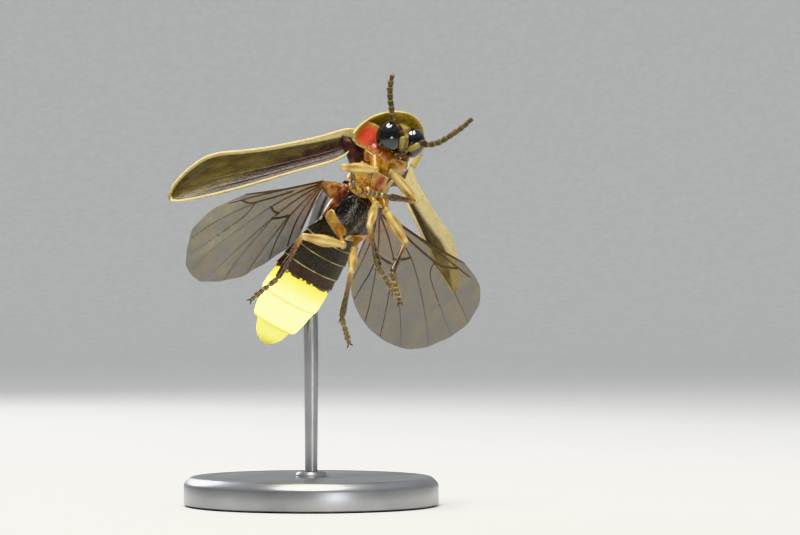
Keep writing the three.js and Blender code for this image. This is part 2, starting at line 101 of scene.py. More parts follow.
def turned(x_turn=0.0, y_turn=0.0, z_turn=0.0):
    """A turn about X, then Y, then Z, in degrees, as one matrix."""
    a, b, c = np.radians([x_turn, y_turn, z_turn])
    about_x = np.array([[1, 0, 0], [0, np.cos(a), -np.sin(a)], [0, np.sin(a), np.cos(a)]])
    about_y = np.array([[np.cos(b), 0, np.sin(b)], [0, 1, 0], [-np.sin(b), 0, np.cos(b)]])
    about_z = np.array([[np.cos(c), -np.sin(c), 0], [np.sin(c), np.cos(c), 0], [0, 0, 1]])
    return about_z @ about_y @ about_x


print("forward, left and up in the world:", AXES.T.round(2).tolist())

# %% [markdown]
# ## The camera
#
# The photograph looks level at the belly from a little way off, so the view has hardly any
# perspective. In the plane of the neck one millimetre is 18.5 pixels of an 800 pixel picture.
# From that scale and a distance of 200 mm comes the lens, and from the neck's pixel the place.

# %% The camera
PICTURE = (800, 535)
NECK_PIXEL = (383, 150)
PIXELS_PER_MM = 18.5
DISTANCE = 200.0
SENSOR = 36.0


def in_scene(name, data):
    """A new object of the scene from its data."""
    made = bpy.data.objects.new(name, data)
    bpy.context.scene.collection.objects.link(made)
    return made


camera_data = bpy.data.cameras.new("camera")
camera_data.sensor_width = SENSOR
camera_data.lens = SENSOR * DISTANCE * PIXELS_PER_MM / PICTURE[0]
camera_data.clip_start = 0.01
camera_data.clip_end = 10.0
camera = in_scene("camera", camera_data)
camera.location = (
    (NECK_AT[0] + (PICTURE[0] / 2 - NECK_PIXEL[0]) / PIXELS_PER_MM) * MM,
    (NECK_AT[1] - DISTANCE) * MM,
    (NECK_AT[2] - (PICTURE[1] / 2 - NECK_PIXEL[1]) / PIXELS_PER_MM) * MM,
)
camera.rotation_euler = (np.pi / 2, 0.0, 0.0)
bpy.context.scene.camera = camera
print("lens in mm:", round(camera_data.lens, 1))

# %% [markdown]
# ## Lines, tubes and shells
#
# Nearly every part of an insect is a closed shell: a plate, a tube with swollen and pinched
# places, or a thin leaf. One kind of mesh serves them all. Its points lie on a grid of rings,
# each ring closes on itself, and a fan of triangles closes both ends. A shell that comes out
# inside out, as a mirrored one does, shows it by a negative volume and is turned round.
# First come a few small formulas that many of the shapes share.

# %% Shared formulas
def unit(vectors):
    """The same directions at length 1."""
    return vectors / np.maximum(np.linalg.norm(vectors, axis=-1, keepdims=True), 1e-12)


def circle(count):
    """Even angles once round, without the last, which would meet the first."""
    return np.linspace(0, 2 * np.pi, count, endpoint=False)


def crowded(count):
    """Shares from 0 to 1 that crowd together at both ends: (1 - cos(pi t)) / 2."""
    return (1 - np.cos(np.pi * np.linspace(0, 1, count))) / 2


def bell(apart, reach):
    """1 at no distance, falling off softly: exp(-(apart / reach) squared)."""
    return np.exp(-((apart / reach) ** 2))


def rounding(past):
    """A quarter circle: 1 up to 0, then sqrt(1 - past squared) down to 0 at 1."""
    return np.sqrt(np.clip(1 - np.clip(past, 0, None) ** 2, 0, 1))


def fade(value, start, end):
    """0 below start, 1 above end, and a soft S between them."""
    t = np.clip((np.asarray(value, float) - start) / (end - start), 0, 1)
    return t * t * (3 - 2 * t)


# %% Smooth lines
def smooth(at, stops, values):
    """A cubic line through the values at the stops.

    Its slope at each stop is the mean slope of the two neighbours, so no corner shows."""
    at = np.asarray(at, float)
    stops = np.asarray(stops, float)
    values = np.asarray(values, float)
    slope = np.gradient(values, stops, axis=0)
    i = np.clip(np.searchsorted(stops, at, side="right") - 1, 0, len(stops) - 2)
    width = stops[i + 1] - stops[i]
    t = np.clip((at - stops[i]) / width, 0, 1)
    if values.ndim == 2:
        width, t = width[..., None], t[..., None]
    return (
        (2 * t**3 - 3 * t**2 + 1) * values[i]
        + (t**3 - 2 * t**2 + t) * width * slope[i]
        + (3 * t**2 - 2 * t**3) * values[i + 1]
        + (t**3 - t**2) * width * slope[i + 1]
    )


def even_line(points, shares):
    """Places and directions at shares of the length of the smooth line through the points."""
    points = np.asarray(points, float)
    dense = smooth(np.linspace(0, len(points) - 1, 400), np.arange(len(points)), points)
    gone = np.concatenate([[0], np.cumsum(np.linalg.norm(np.diff(dense, axis=0), axis=1))])
    want = np.asarray(shares) * gone[-1]
    at = np.stack([np.interp(want, gone, dense[:, k]) for k in range(3)], 1)
    way = np.stack([np.interp(want, gone, np.gradient(dense[:, k], gone)) for k in range(3)], 1)
    return at, unit(way)


# %% Shells
FORMS = {}


def shell(points, tone=0.0):
    """Quads over a grid of rings, with a fan over each end, faces outward.

    Six times the volume is the sum of a . (b x c) over all triangles. Where it is negative,
    each face lists its corners the other way round."""
    rows, columns = points.shape[:2]
    index = np.arange(rows * columns).reshape(rows, columns)
    after = np.roll(index, -1, axis=1)
    quads = np.stack([index[:-1], after[:-1], after[1:], index[1:]], -1).reshape(-1, 4)
    start, end = rows * columns, rows * columns + 1
    first = np.stack([np.full(columns, start), after[0], index[0]], -1)
    last = np.stack([np.full(columns, end), index[-1], after[-1]], -1)
    u0 = np.tile(np.arange(columns) / columns, (rows - 1, 1))
    u1 = u0 + 1 / columns
    v0 = np.repeat(np.arange(rows - 1) / (rows - 1), columns).reshape(rows - 1, columns)
    v1 = v0 + 1 / (rows - 1)
    quad_uv = np.stack([u0, v0, u1, v0, u1, v1, u0, v1], -1).reshape(-1, 4, 2)
    a, b = u0[0], u1[0]
    zero, one, half = np.zeros(columns), np.ones(columns), (a + b) / 2
    first_uv = np.stack([half, zero, b, zero, a, zero], -1).reshape(-1, 3, 2)
    last_uv = np.stack([half, one, a, one, b, one], -1).reshape(-1, 3, 2)
    tone = np.broadcast_to(np.asarray(tone, float), (rows, columns))
    flat = np.concatenate([points.reshape(-1, 3), [points[0].mean(0), points[-1].mean(0)]])
    tones = np.concatenate([tone.reshape(-1), [tone[0].mean(), tone[-1].mean()]])
    tris, tri_uv = np.concatenate([first, last]), np.concatenate([first_uv, last_uv])
    halves = np.concatenate([quads[:, [0, 1, 2]], quads[:, [0, 2, 3]], tris])
    corner = flat[halves] - flat.mean(0)
    volume = np.einsum("ij,ij->i", corner[:, 0], np.cross(corner[:, 1], corner[:, 2])).sum()
    if volume < 0:
        quads, quad_uv = quads[:, ::-1], quad_uv[:, ::-1]
        tris, tri_uv = tris[:, ::-1], tri_uv[:, ::-1]
    return dict(points=flat, quads=quads, tris=tris, quad_uv=quad_uv, tri_uv=tri_uv, tone=tones)


def mirrors(move):
    """Whether a move turns left into right: the sign of its three axes' triple product."""
    return np.linalg.det(move(np.eye(3)) - move(np.zeros((1, 3)))) < 0


def new_mesh(name, points, faces, finish):
    """A smooth mesh from points in mm and lists of corners, with its finish."""
    mesh = bpy.data.meshes.new(name)
    mesh.from_pydata((points * MM).tolist(), [], faces)
    mesh.materials.append(finish)
    mesh.shade_smooth()
    return mesh


def mark(mesh, name, values):
    """Stores one number or one point for every vertex."""
    kind, key = ("FLOAT", "value") if values.ndim == 1 else ("FLOAT_VECTOR", "vector")
    layer = mesh.attributes.new(name, kind, "POINT")
    layer.data.foreach_set(key, values.astype(np.float32).ravel())


def mark_map(mesh, name, values):
    """Stores a place on a flat map for every corner of every face."""
    layer = mesh.uv_layers.new(name=name)
    layer.uv.foreach_set("vector", values.astype(np.float32).ravel())


def build(name, forms, finish, slot, move=body_place, sharp=50.0, replaces=True):
    """One object from several shells, which stands for the node of the same name.

    Each vertex keeps its place in the part's own frame, in millimetres, as "place", and a
    number from 0 to 1 as "tone". Materials read both, so patterns stay on the surface."""
    forms = forms if isinstance(forms, list) else [forms]
    shift = np.cumsum([0] + [len(form["points"]) for form in forms[:-1]])
    own, tones = (np.concatenate([form[key] for form in forms]) for key in ("points", "tone"))
    way = -1 if mirrors(move) else 1
    faces, corners = [], []
    for key in ("quad", "tri"):
        for form, first in zip(forms, shift):
            faces += (form[key + "s"][:, ::way] + first).tolist()
            corners.append(form[key + "_uv"][:, ::way].reshape(-1, 2))
    mesh = new_mesh(name, move(own), faces, finish)
    mark_map(mesh, "UVMap", np.concatenate(corners))
    mark(mesh, "place", own)
    mark(mesh, "tone", tones)
    mesh.set_sharp_from_angle(angle=np.radians(sharp))
    piece = in_scene(name, mesh)
    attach(piece, "root")
    if replaces:
        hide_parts(name)
    FORMS[name] = (forms, move, slot)
    print(name, "faces:", len(mesh.polygons))


# %% Tubes
def end_rounding(shares, start, end):
    """1 along the middle, falling to 0 at both ends as a quarter of a circle does."""
    return rounding(1 - shares / start) * rounding(1 - (1 - shares) / end)


def line_rings(points, shares, reach, flat, up, sides):
    """Rings at right angles to the smooth line through the points.

    Ring point = place + reach x (cos a x side + flat x sin a x rise)."""
    at, way = even_line(points, shares)
    side = unit(np.cross(way, np.asarray(up, float)))
    rise = np.cross(side, way)
    angle = circle(sides)[:, None]
    ring = np.cos(angle) * side[:, None] + flat * np.sin(angle) * rise[:, None]
    return at[:, None] + reach[..., None] * ring


def tube(points, radii, flat=1.0, up=(0, 0, 1), sides=20, rows=28, ends=(0.04, 0.04), tone=0.0):
    """A closed tube whose radius follows the list of (share, radius).

    The rows crowd together near both ends, where the radius falls off like a circle."""
    shares = crowded(rows)
    stops, sizes = np.array(radii, float).T
    radius = smooth(shares, stops, sizes) * end_rounding(shares, *ends)
    tones = np.interp(shares, np.linspace(0, 1, np.size(tone)), np.atleast_1d(tone))
    return shell(line_rings(points, shares, radius[:, None], flat, up, sides), tones[:, None])


print("tools for lines, shells and tubes are ready")

# %% [markdown]
# ## Colours and materials
#
# Insect cuticle is layered chitin: a hard, clear, slightly waxy skin over pigment, much like
# varnished horn. Its refractive index is about 1.56. Each finish below starts from that, and
# differs in colour, in how rough the surface is, and in the relief that the light catches.
# Colours are written as the sRGB codes a painter would pick, and one function turns them into
# the linear light that the shader needs.
#
# A finish is written as a table. Each row is one node: its name, its kind and its settings. A
# setting that names another row is a link from it, and a row that has the name of one of the
# shader's inputs is joined to that input. Some rows are ready for all: the "place" on the
# animal in mm with its x, y and z, the "tone", and the "map" that unrolls the skin. In a mix of
# colours, 0 is the share, 6 the colour at none and 7 the colour at full.

# %% Colour and node helpers
def srgb(code):
    """Linear light from an sRGB code: v / 12.92 in the darkest part, a 2.4 power above it."""
    value = np.array([int(code[i:i + 2], 16) for i in (0, 2, 4)]) / 255
    linear = np.where(value <= 0.04045, value / 12.92, ((value + 0.055) / 1.055) ** 2.4)
    return (*linear.tolist(), 1.0)


def add(tree, kind, settings, output=None, find=srgb):
    """Adds one node with its settings and links, and gives the output asked for or in use.

    The kind may end in the operation or the type of data. "stops" fills a ramp with colours or
    greys, and "from" and "to" are the ends of two ranges. Other settings go to the input of
    that name or number, or else to the property. At an input, find turns a text into a colour
    or the output to link."""
    kind, _, mode = kind.partition(" ")
    made = tree.nodes.new("ShaderNode" + kind)
    if mode:
        setattr(made, "data_type" if kind == "Mix" else "operation", mode)
    for key, value in settings.items():
        if key == "stops":
            ramp = made.color_ramp.elements
            while len(ramp) < len(value):
                ramp.new(0.5)
            for element, (position, colour) in zip(ramp, value.items()):
                element.position = position
                element.color = srgb(colour) if isinstance(colour, str) else (*[colour] * 3, 1)
        elif key in ("from", "to"):
            for end, limit in zip(("Min", "Max"), value):
                made.inputs[f"{key.title()} {end}"].default_value = limit
        elif isinstance(key, int) or key in made.inputs:
            value = find(value) if isinstance(value, str) else value
            if isinstance(value, bpy.types.NodeSocket):
                tree.links.new(value, made.inputs[key])
            else:
                made.inputs[key].default_value = value
        else:
            setattr(made, key, value)
    return made.outputs[output] if output else next(o for o in made.outputs if o.enabled)


READY = {
    "place": ("Attribute", {"attribute_name": "place"}, "Vector"),
    "tone": ("Attribute", {"attribute_name": "tone"}, "Fac"),
    "object": ("TexCoord", {}, "Object"),
    "map": ("UVMap", {"uv_map": "UVMap"}),
    "x": ("SeparateXYZ", {0: "place"}, "X"),
    "y": ("SeparateXYZ", {0: "place"}, "Y"),
    "z": ("SeparateXYZ", {0: "place"}, "Z"),
    "along": ("SeparateXYZ", {0: "map"}, "Y"),
}


def make_finish(name, sockets, rows):
    """A material with one Principled shader: plain values on its sockets, and a table of nodes.

    A node is made when a row first needs it. A noise without a vector of its own reads the
    place."""
    made = bpy.data.materials.new(name)
    made.use_nodes = True
    tree = made.node_tree
    shader = tree.nodes["Principled BSDF"]
    for key, value in {"IOR": 1.56, "Roughness": 0.35, **sockets}.items():
        shader.inputs[key].default_value = value
    table, done = {**READY, **rows}, {}

    def find(key):
        """The output of the row of that name, or else the text's own colour."""
        if key not in table:
            return srgb(key)
        if key not in done:
            kind, settings, *output = table[key]
            if kind in ("TexNoise", "TexVoronoi") and "W" not in settings:
                settings = {"Vector": "place", **settings}
            done[key] = add(tree, kind, settings, *output or [None], find)
        return done[key]

    for key in rows:
        if key in shader.inputs:
            tree.links.new(find(key), shader.inputs[key])
    print(name, "nodes:", len(tree.nodes))
    return made


def spots(under, cloud, waver, marks):
    """Rows that paint soft round spots over a colour, one over the other.

    A mark is its middle, the distances in mm at which it is whole and gone, its strength and
    its colour. The distance grows by the cloud x the waver, so that the border wavers."""
    rows = {}
    for number, (middle, whole, gone, force, code) in enumerate(marks):
        parts = ("away", "edge", "mask", "spot")
        away, edge, mask, spot = (f"{under} {part} {number}" for part in parts)
        below = f"{under} spot {number - 1}" if number else under
        rows[away] = ("VectorMath DISTANCE", {0: "place", 1: middle})
        rows[edge] = ("Math MULTIPLY_ADD", {0: cloud, 1: waver, 2: away})
        rows[mask] = ("MapRange", {0: edge, "from": (gone, whole), "to": (0, force)})
        rows[spot] = ("Mix RGBA", {0: mask, 6: below, 7: code})
    return rows


# %% [markdown]
# ## The trunk
#
# Head, thorax and abdomen hang on one axis. The thorax is a box of hard plates that holds the
# flight muscles. The abdomen is a stack of rings, each with a back plate and a belly plate,
# and each ring's hind edge lies over the next ring like roof tiles. A list of cross sections
# gives the trunk its size, and every plate below is laid on that surface at its own height.

# %% Cross sections of the trunk
# mm behind the shield's hind edge, half width, back, belly, sideways shift, squareness
SECTIONS = np.array([
    (-0.45, 0.80, 0.30, -1.15, 0.00, 2.0), (-0.15, 1.20, 0.35, -1.45, 0.00, 2.0),
    (0.35, 1.33, 0.25, -1.58, 0.00, 2.0), (0.90, 1.14, 0.12, -1.30, 0.00, 2.0),
    (1.50, 1.18, 0.34, -1.23, 0.00, 2.0), (2.35, 1.32, 0.38, -1.48, 0.00, 2.0),
    (3.30, 1.40, 0.42, -1.74, 0.00, 2.0), (4.30, 1.40, 0.38, -1.71, 0.00, 2.1),
    (4.85, 1.32, 0.26, -1.42, -0.02, 2.2), (5.15, 1.38, 0.14, -1.18, -0.05, 2.3),
    (5.70, 1.53, 0.13, -1.08, -0.10, 2.3), (6.50, 1.68, 0.13, -1.05, -0.15, 2.3),
    (7.40, 1.80, 0.13, -1.02, -0.20, 2.3), (8.20, 1.86, 0.10, -0.98, -0.24, 2.3),
    (9.60, 1.79, 0.04, -0.99, -0.28, 2.3), (10.95, 1.40, -0.04, -0.94, -0.26, 2.3),
    (11.50, 1.13, -0.10, -0.88, -0.22, 2.3), (12.15, 0.80, -0.20, -0.78, -0.16, 2.2),
])


def trunk_place(behind, angle, lift=0.0, size=1.0):
    """A superellipse section: y = half x |cos|^(2/n), z = half height x |sin|^(2/n).

    Angle 0 is the left flank, a quarter turn the back and three quarters the belly. The lift
    is added to both half axes, and the size draws the section in to its middle."""
    behind, angle = np.broadcast_arrays(np.asarray(behind, float), angle)
    half, back, belly, side, square = (
        smooth(behind, SECTIONS[:, 0], SECTIONS[:, k]) for k in range(1, 6)
    )
    across, rise, power = np.cos(angle), np.sin(angle), 2 / square
    y = np.sign(across) * np.abs(across) ** power * (half + lift) * size + side
    z = np.sign(rise) * np.abs(rise) ** power * ((back - belly) / 2 + lift) * size
    return np.stack([-behind, y, z + (back + belly) / 2], axis=-1)


# %% Rings that overlap like roof tiles
def trunk_rings(borders, bow=0.12, rise=0.07, sides=160, rows=18, size=None):
    """Rings from border to border, as one surface.

    Along a ring the lift grows from -0.03 mm to the rise, then drops at the hind edge. Borders
    bow backward on the belly by bow x sin squared. At the flanks the hind corner of each ring
    stands out a little, and a shallow groove runs below it, where belly and back plates meet."""
    angle = circle(sides)
    belly = np.clip(-np.sin(angle), 0, 1) ** 2
    share = np.append(np.linspace(0, 1, rows), 1.0)[:, None]
    corner = bell(np.sin(angle), 0.16)
    groove = bell(np.sin(angle) + 0.42, 0.1) * 0.03
    points, tones = [], []
    for front, hind in zip(borders[:-1], borders[1:]):
        behind = front - 0.03 + (hind - front + 0.03) * share + bow * belly
        lift = rise * share**1.3 - 0.025 * fade(share, 0.9, 1.0) + 0.05 * corner * share**2
        lift = lift - groove * fade(share, 0.0, 0.2)
        lift[-1] = -0.03
        points.append(trunk_place(behind, angle, lift, size(behind) if size else 1.0))
        tones.append(np.broadcast_to(share, behind.shape))
    return shell(np.concatenate(points), np.concatenate(tones))


print("trunk length in mm:", round(SECTIONS[-1, 0] - SECTIONS[0, 0], 2))

# %% [markdown]
# ## Finish of the dark rings
#
# The belly plates of the dark rings are pitch brown and polished, with fine wrinkles across and
# sparse dents where hairs stand. Their hind edges are thin and let light through, so they look
# straw coloured. On the back the plates are softer and a dusky rose brown. The "tone" of the
# surface tells how far along its ring a point lies, so the pale edge follows every ring.

# %% Dark ring cuticle
RING_DARK = make_finish("ring cuticle", {"Coat Weight": 0.2}, {
    "cloud": ("TexNoise", {"Scale": 1.6, "Detail": 5.0}),
    "belly": ("ValToRGB", {0: "cloud", "stops": {0.38: "080504", 0.56: "1a0f09", 0.74: "382310"}}),
    "back": ("ValToRGB", {0: "cloud", "stops": {0.3: "2b1815", 0.7: "54362e"}}),
    "is back": ("MapRange", {0: "z", "from": (-0.45, -0.2)}),
    "plate": ("Mix RGBA", {0: "is back", 6: "belly", 7: "back"}),
    # The left of the belly is thinner and shows olive from the fat body below
    "is left": ("MapRange", {0: "y", "from": (0.5, 1.6), "to": (0, 0.45)}),
    "sides": ("Mix RGBA", {0: "is left", 6: "plate", 7: "453e18"}),
    # The last band before the lantern is redder, and its edge isn't pale
    "is last": ("MapRange", {0: "x", "from": (-7.45, -7.6)}),
    "isn't last": ("MapRange", {0: "x", "from": (-7.6, -7.5)}),
    "bands": ("Mix RGBA", {0: "is last", 6: "sides", 7: "32170c"}),
    "edge": ("ValToRGB", {0: "tone", "stops": {0.0: 0, 0.92: 0, 0.955: 1}}),
    "uneven": ("MapRange", {0: "cloud", "from": (0.38, 0.56), "to": (0.3, 1)}),
    "patchy": ("Math MULTIPLY", {0: "edge", 1: "uneven"}),
    "pale": ("Math MULTIPLY", {0: "patchy", 1: "isn't last"}),
    "Base Color": ("Mix RGBA", {0: "pale", 6: "bands", 7: "c4b47a"}),
    # Wrinkles about 0.1 mm apart run across the plate; dents are about 0.06 mm wide
    "across": ("Mapping", {"Vector": "place", "Scale": (9.0, 2.2, 2.2)}),
    "wrinkle": ("TexNoise", {"Vector": "across", "Scale": 1.0, "Detail": 6.0, "Roughness": 0.65}),
    "dents": ("TexVoronoi", {"Scale": 7.0}),
    "dent depth": ("MapRange", {0: "dents", "from": (0, 0.35), "to": (0, 0.6)}),
    "height": ("Math ADD", {0: "wrinkle", 1: "dent depth"}),
    "Normal": ("Bump", {"Height": "height", "Distance": 0.03 * MM}),
    "Roughness": ("MapRange", {0: "wrinkle", "to": (0.28, 0.55)}),
})
build("abdomen", trunk_rings([4.7, 5.7, 6.5, 7.4, 8.02]), RING_DARK, "dark_cuticle")

# %% [markdown]
# ## The lantern
#
# Under the last rings the cuticle is clear, and behind it lies a white layer of crystals with
# the light cells in front. When it is lit the plates glow lemon yellow at the edges, where the
# layer is thin, and almost white in the middle, where it is thick. The glow is an emission that
# depends on the place on the plate. The backs of the same rings stay brown and unlit.

# %% Lantern cuticle
LANTERN = make_finish("lantern cuticle", {
    "Roughness": 0.28, "Subsurface Weight": 0.25, "Subsurface Scale": 0.0003, "Coat Weight": 0.3,
}, {
    "cloud": ("TexNoise", {"Scale": 1.3, "Detail": 4.0}),
    # Scallops about 0.25 mm wide along the dark front border
    "scallop": ("TexVoronoi", {"Scale": 3.6}),
    "ragged": ("MapRange", {0: "scallop", "from": (0, 0.6), "to": (-0.1, 0.12)}),
    "front": ("Math ADD", {0: "x", 1: "ragged"}),
    "is behind": ("MapRange", {0: "front", "from": (-8.12, -8.22)}),
    # The belly plate ends at the flank, a little below the widest line
    "is belly": ("MapRange", {0: "z", "from": (-0.4, -0.5)}),
    "lit": ("Math MULTIPLY", {0: "is behind", 1: "is belly"}),
    # Thickness of the glowing layer: 0 at the front border, 1 from the middle of the plates on
    "thick": ("MapRange", {0: "x", "from": (-8.1, -9.5)}),
    "patchy": ("Math MULTIPLY_ADD", {0: "cloud", 1: 0.5, 2: -0.25}),
    "depth": ("Math ADD", {0: "thick", 1: "patchy"}),
    "Emission Color": ("ValToRGB", {
        0: "depth", "stops": {0.0: "ffea00", 0.35: "fffa28", 0.85: "fbff9a"}}),
    "force": ("MapRange", {0: "depth", "to": (1.0, 3.6)}),
    # The glow is weaker at the hind edge of each ring and near the end of the tail
    "ring": ("ValToRGB", {0: "tone", "stops": {0.0: 0.45, 0.05: 1, 0.9: 1, 0.965: 0.3}}),
    "far": ("MapRange", {0: "x", "from": (-10.9, -12.3)}),
    "tail": ("ValToRGB", {0: "far", "stops": {0.0: 1, 0.2: 0.2, 0.55: 0.26, 0.88: 0.04}}),
    "by ring": ("Math MULTIPLY", {0: "force", 1: "ring"}),
    "by tail": ("Math MULTIPLY", {0: "by ring", 1: "tail"}),
    "Emission Strength": ("Math MULTIPLY", {0: "by tail", 1: "lit"}),
    "unlit": ("ValToRGB", {0: "cloud", "stops": {0.3: "2a1a10", 0.7: "5d4530"}}),
    "Base Color": ("Mix RGBA", {0: "lit", 6: "unlit", 7: "d8cf4a"}),
    "across": ("Mapping", {"Vector": "place", "Scale": (8.0, 2.5, 2.5)}),
    "wrinkle": ("TexNoise", {"Vector": "across", "Scale": 1.0, "Detail": 5.0}),
    "Normal": ("Bump", {"Height": "wrinkle", "Distance": 0.03 * MM}),
})


# %% The lantern's rings and the tail
def tail_size(behind):
    """0.87 up to 11.6 mm, then the quarter of an ellipse down to a blunt tip."""
    return 0.87 * np.maximum(rounding((behind - 11.6) / 0.72), 0.002**0.5)


build("lantern", trunk_rings([7.97, 9.6, 11.12], bow=0.1), LANTERN, "lantern_cuticle")
tail = trunk_rings([11.0, 12.22], bow=0.1, rise=0.03, rows=40, size=tail_size)
build("abdomen_tip", tail, LANTERN, "lantern_cuticle")

# %% [markdown]
# ## The thorax
#
# Below the shield the first ring of the thorax is soft and amber, with two dark red windows
# where muscle shows through the skin. The middle ring has an amber tongue with a red heart
# between the middle legs. The last ring, under the hind wings, is glossy black and domed,
# with a seam down its middle. Each ring is a piece of the trunk surface, and its plates are
# thin closed forms with rolled edges that lie on it.

# %% Plates on the trunk
def leaf(top, bottom, tone_top=0.0, tone_bottom=0.0):
    """A closed thin form between two grids: each ring runs out over one and back over the other."""
    over = np.broadcast_to(np.asarray(tone_top, float), top.shape[:2])
    below = np.broadcast_to(np.asarray(tone_bottom, float), top.shape[:2])
    points = np.concatenate([top, bottom[:, ::-1]], axis=1)
    return shell(points, np.concatenate([over, below[:, ::-1]], axis=1))


def trunk_ring(front, hind, bumps=(), ends=(0.2, 0.2)):
    """One smooth ring of the trunk, drawn in at both ends as a circle's quarter.

    Each bump adds height x exp(-(distance / reach) squared), where the distance runs over the
    surface: along the body, and round it as angle x 1.4 mm."""
    angle = circle(120)
    behind = front + (hind - front) * crowded(50)[:, None] + 0 * angle
    swell = np.zeros(behind.shape)
    for at, turn, reach_along, reach_round, rise in bumps:
        apart = (angle - np.radians(turn) + np.pi) % (2 * np.pi) - np.pi
        swell += rise * bell(behind - at, reach_along) * bell(apart * 1.4, reach_round)
    size = end_rounding((behind - front) / (hind - front), *ends)
    return shell(trunk_place(behind, angle, swell, np.maximum(size, 0.02)), 1.0)


def edge_height(along, across, power):
    """1 inside and 0 at the borders: ((1 - |along|^power) x (1 - |across|^power))^0.4."""
    return ((1 - np.abs(along) ** power) * (1 - np.abs(across) ** power)) ** 0.4


def trunk_plate(front, hind, middle, spread, thickness, bow=(0, 0), crown=0, seam=0, slant=0):
    """A plate with rolled edges on the trunk, from front to hind in mm, round a middle angle.

    Its half angle follows the spread list of (share, degrees). The front and hind borders bow
    backward in their middle, the seam is a furrow along it, and the slant moves one side
    backward and the other forward."""
    share = crowded(48)[:, None]
    across = 2 * crowded(56)[None, :] - 1
    bulge = 1 - across**2
    behind = front + bow[0] * bulge + (hind - front + (bow[1] - bow[0]) * bulge) * share
    behind = behind + slant * across
    stops, degrees = np.array(spread, float).T
    angle = np.radians(middle + across * smooth(share, stops, degrees))
    edge = edge_height(2 * share - 1, across, 6)
    lift = thickness * edge + crown * bulge * np.sin(np.pi * share)
    lift = lift - seam * bell(across, 0.035) * edge
    return leaf(trunk_place(behind, angle, lift), trunk_place(behind, angle, -0.08), edge)


def plate_pair(front, hind, off, spread, thickness, slant=0, **more):
    """The same plate on both sides of the belly's middle, a right one and a left one."""
    return [
        trunk_plate(front, hind, 270 + side * off, spread, thickness, slant=-side * slant, **more)
        for side in (-1, 1)
    ]


# %% Amber cuticle
# Coral, cream and dark red windows of the skin: middle and reach in mm, strength, colour
WINDOWS = [
    ((0.3, -1.56, -0.36), 0.6, 0.95, "dc4a36"), ((0.3, 1.75, -0.2), 0.8, 0.95, "f2e8c4"),
    ((0.5, 1.2, -0.62), 0.22, 0.9, "dc4a36"), ((0.04, -1.12, -0.85), 0.4, 0.95, "a8231c"),
    ((0.04, 1.12, -0.85), 0.3, 0.95, "a8231c"), ((0.02, -0.85, -1.25), 0.34, 0.9, "a8231c"),
    ((-0.1, -0.5, -1.45), 0.22, 1.0, "8a0c10"), ((-1.45, 0.05, -1.3), 0.34, 0.9, "a8201a"),
    ((-1.95, 0.0, -1.45), 0.24, 0.9, "a8201a"), ((-0.95, -1.2, -0.7), 0.32, 0.7, "8a1c12"),
]
AMBER = make_finish("amber cuticle", {
    "Roughness": 0.3, "Subsurface Weight": 0.15, "Subsurface Scale": 0.0001, "Coat Weight": 0.5,
}, {
    "cloud": ("TexNoise", {"Scale": 2.3, "Detail": 7.0, "Roughness": 0.62}),
    "amber": ("ValToRGB", {0: "cloud", "stops": {
        0.3: "7c480c", 0.45: "a66c18", 0.56: "c28c2a", 0.7: "dcb964"}}),
    # Fine pale and maroon lines are painted highlights and painted shade of the skin's folds
    "is line": ("ValToRGB", {0: "cloud", "stops": {0.45: 0, 0.48: 0.3, 0.51: 0}}),
    "lined": ("Mix RGBA", {0: "is line", 6: "amber", 7: "f2e0a8"}),
    "is fold": ("ValToRGB", {0: "cloud", "stops": {0.385: 0, 0.41: 0.35, 0.44: 0}}),
    "skin": ("Mix RGBA", {0: "is fold", 6: "lined", 7: "5a2010"}),
    **spots("skin", "cloud", 0.35, [
        (middle, reach, reach + 0.24, force, code) for middle, reach, force, code in WINDOWS]),
    # Plate borders: a dark seam outside, then a pale rolled edge
    "is edge": ("ValToRGB", {0: "tone", "stops": {0.5: 0, 0.64: 0.9, 0.74: 0.8, 0.88: 0}}),
    "is seam": ("ValToRGB", {0: "tone", "stops": {0.3: 1, 0.5: 0}}),
    "edged": ("Mix RGBA", {0: "is edge", 6: f"skin spot {len(WINDOWS) - 1}", 7: "efdfa6"}),
    "Base Color": ("Mix RGBA", {0: "is seam", 6: "edged", 7: "2c1206"}),
    "grain": ("TexNoise", {"Scale": 9.0, "Detail": 5.0}),
    "Normal": ("Bump", {"Height": "grain", "Distance": 0.04 * MM}),
})

# %% Pitch black cuticle
PITCH = make_finish("pitch cuticle", {"Roughness": 0.3, "Coat Weight": 0.25}, {
    "cloud": ("TexNoise", {"Scale": 1.4, "Detail": 4.0}),
    "pitch": ("ValToRGB", {0: "cloud", "stops": {0.4: "060405", 0.6: "1a0b0c", 0.75: "481312"}}),
    # The flanks are softer skin, maroon and amber, with pale folds
    "fine": ("TexNoise", {"Scale": 3.2, "Detail": 6.0}),
    "flank": ("ValToRGB", {0: "fine", "stops": {
        0.36: "3c160c", 0.48: "6a3216", 0.57: "84501e", 0.68: "a87a34"}}),
    "up": ("Math MULTIPLY_ADD", {0: "cloud", 1: 0.6, 2: "z"}),
    "is flank": ("MapRange", {0: "up", "from": (-0.95, -0.75)}),
    "skin": ("Mix RGBA", {0: "is flank", 6: "pitch", 7: "flank"}),
    "is rim": ("MapRange", {0: "tone", "from": (0.5, 0.1), "to": (0, 0.8)}),
    "Base Color": ("Mix RGBA", {0: "is rim", 6: "skin", 7: "7a2a14"}),
    # Dents about 0.08 mm apart, as hair roots make
    "dents": ("TexVoronoi", {"Scale": 9.0}),
    "dent depth": ("MapRange", {0: "dents", "from": (0, 0.3)}),
    "height": ("Math ADD", {0: "dent depth", 1: "fine"}),
    "Normal": ("Bump", {"Height": "height", "Distance": 0.03 * MM}),
})


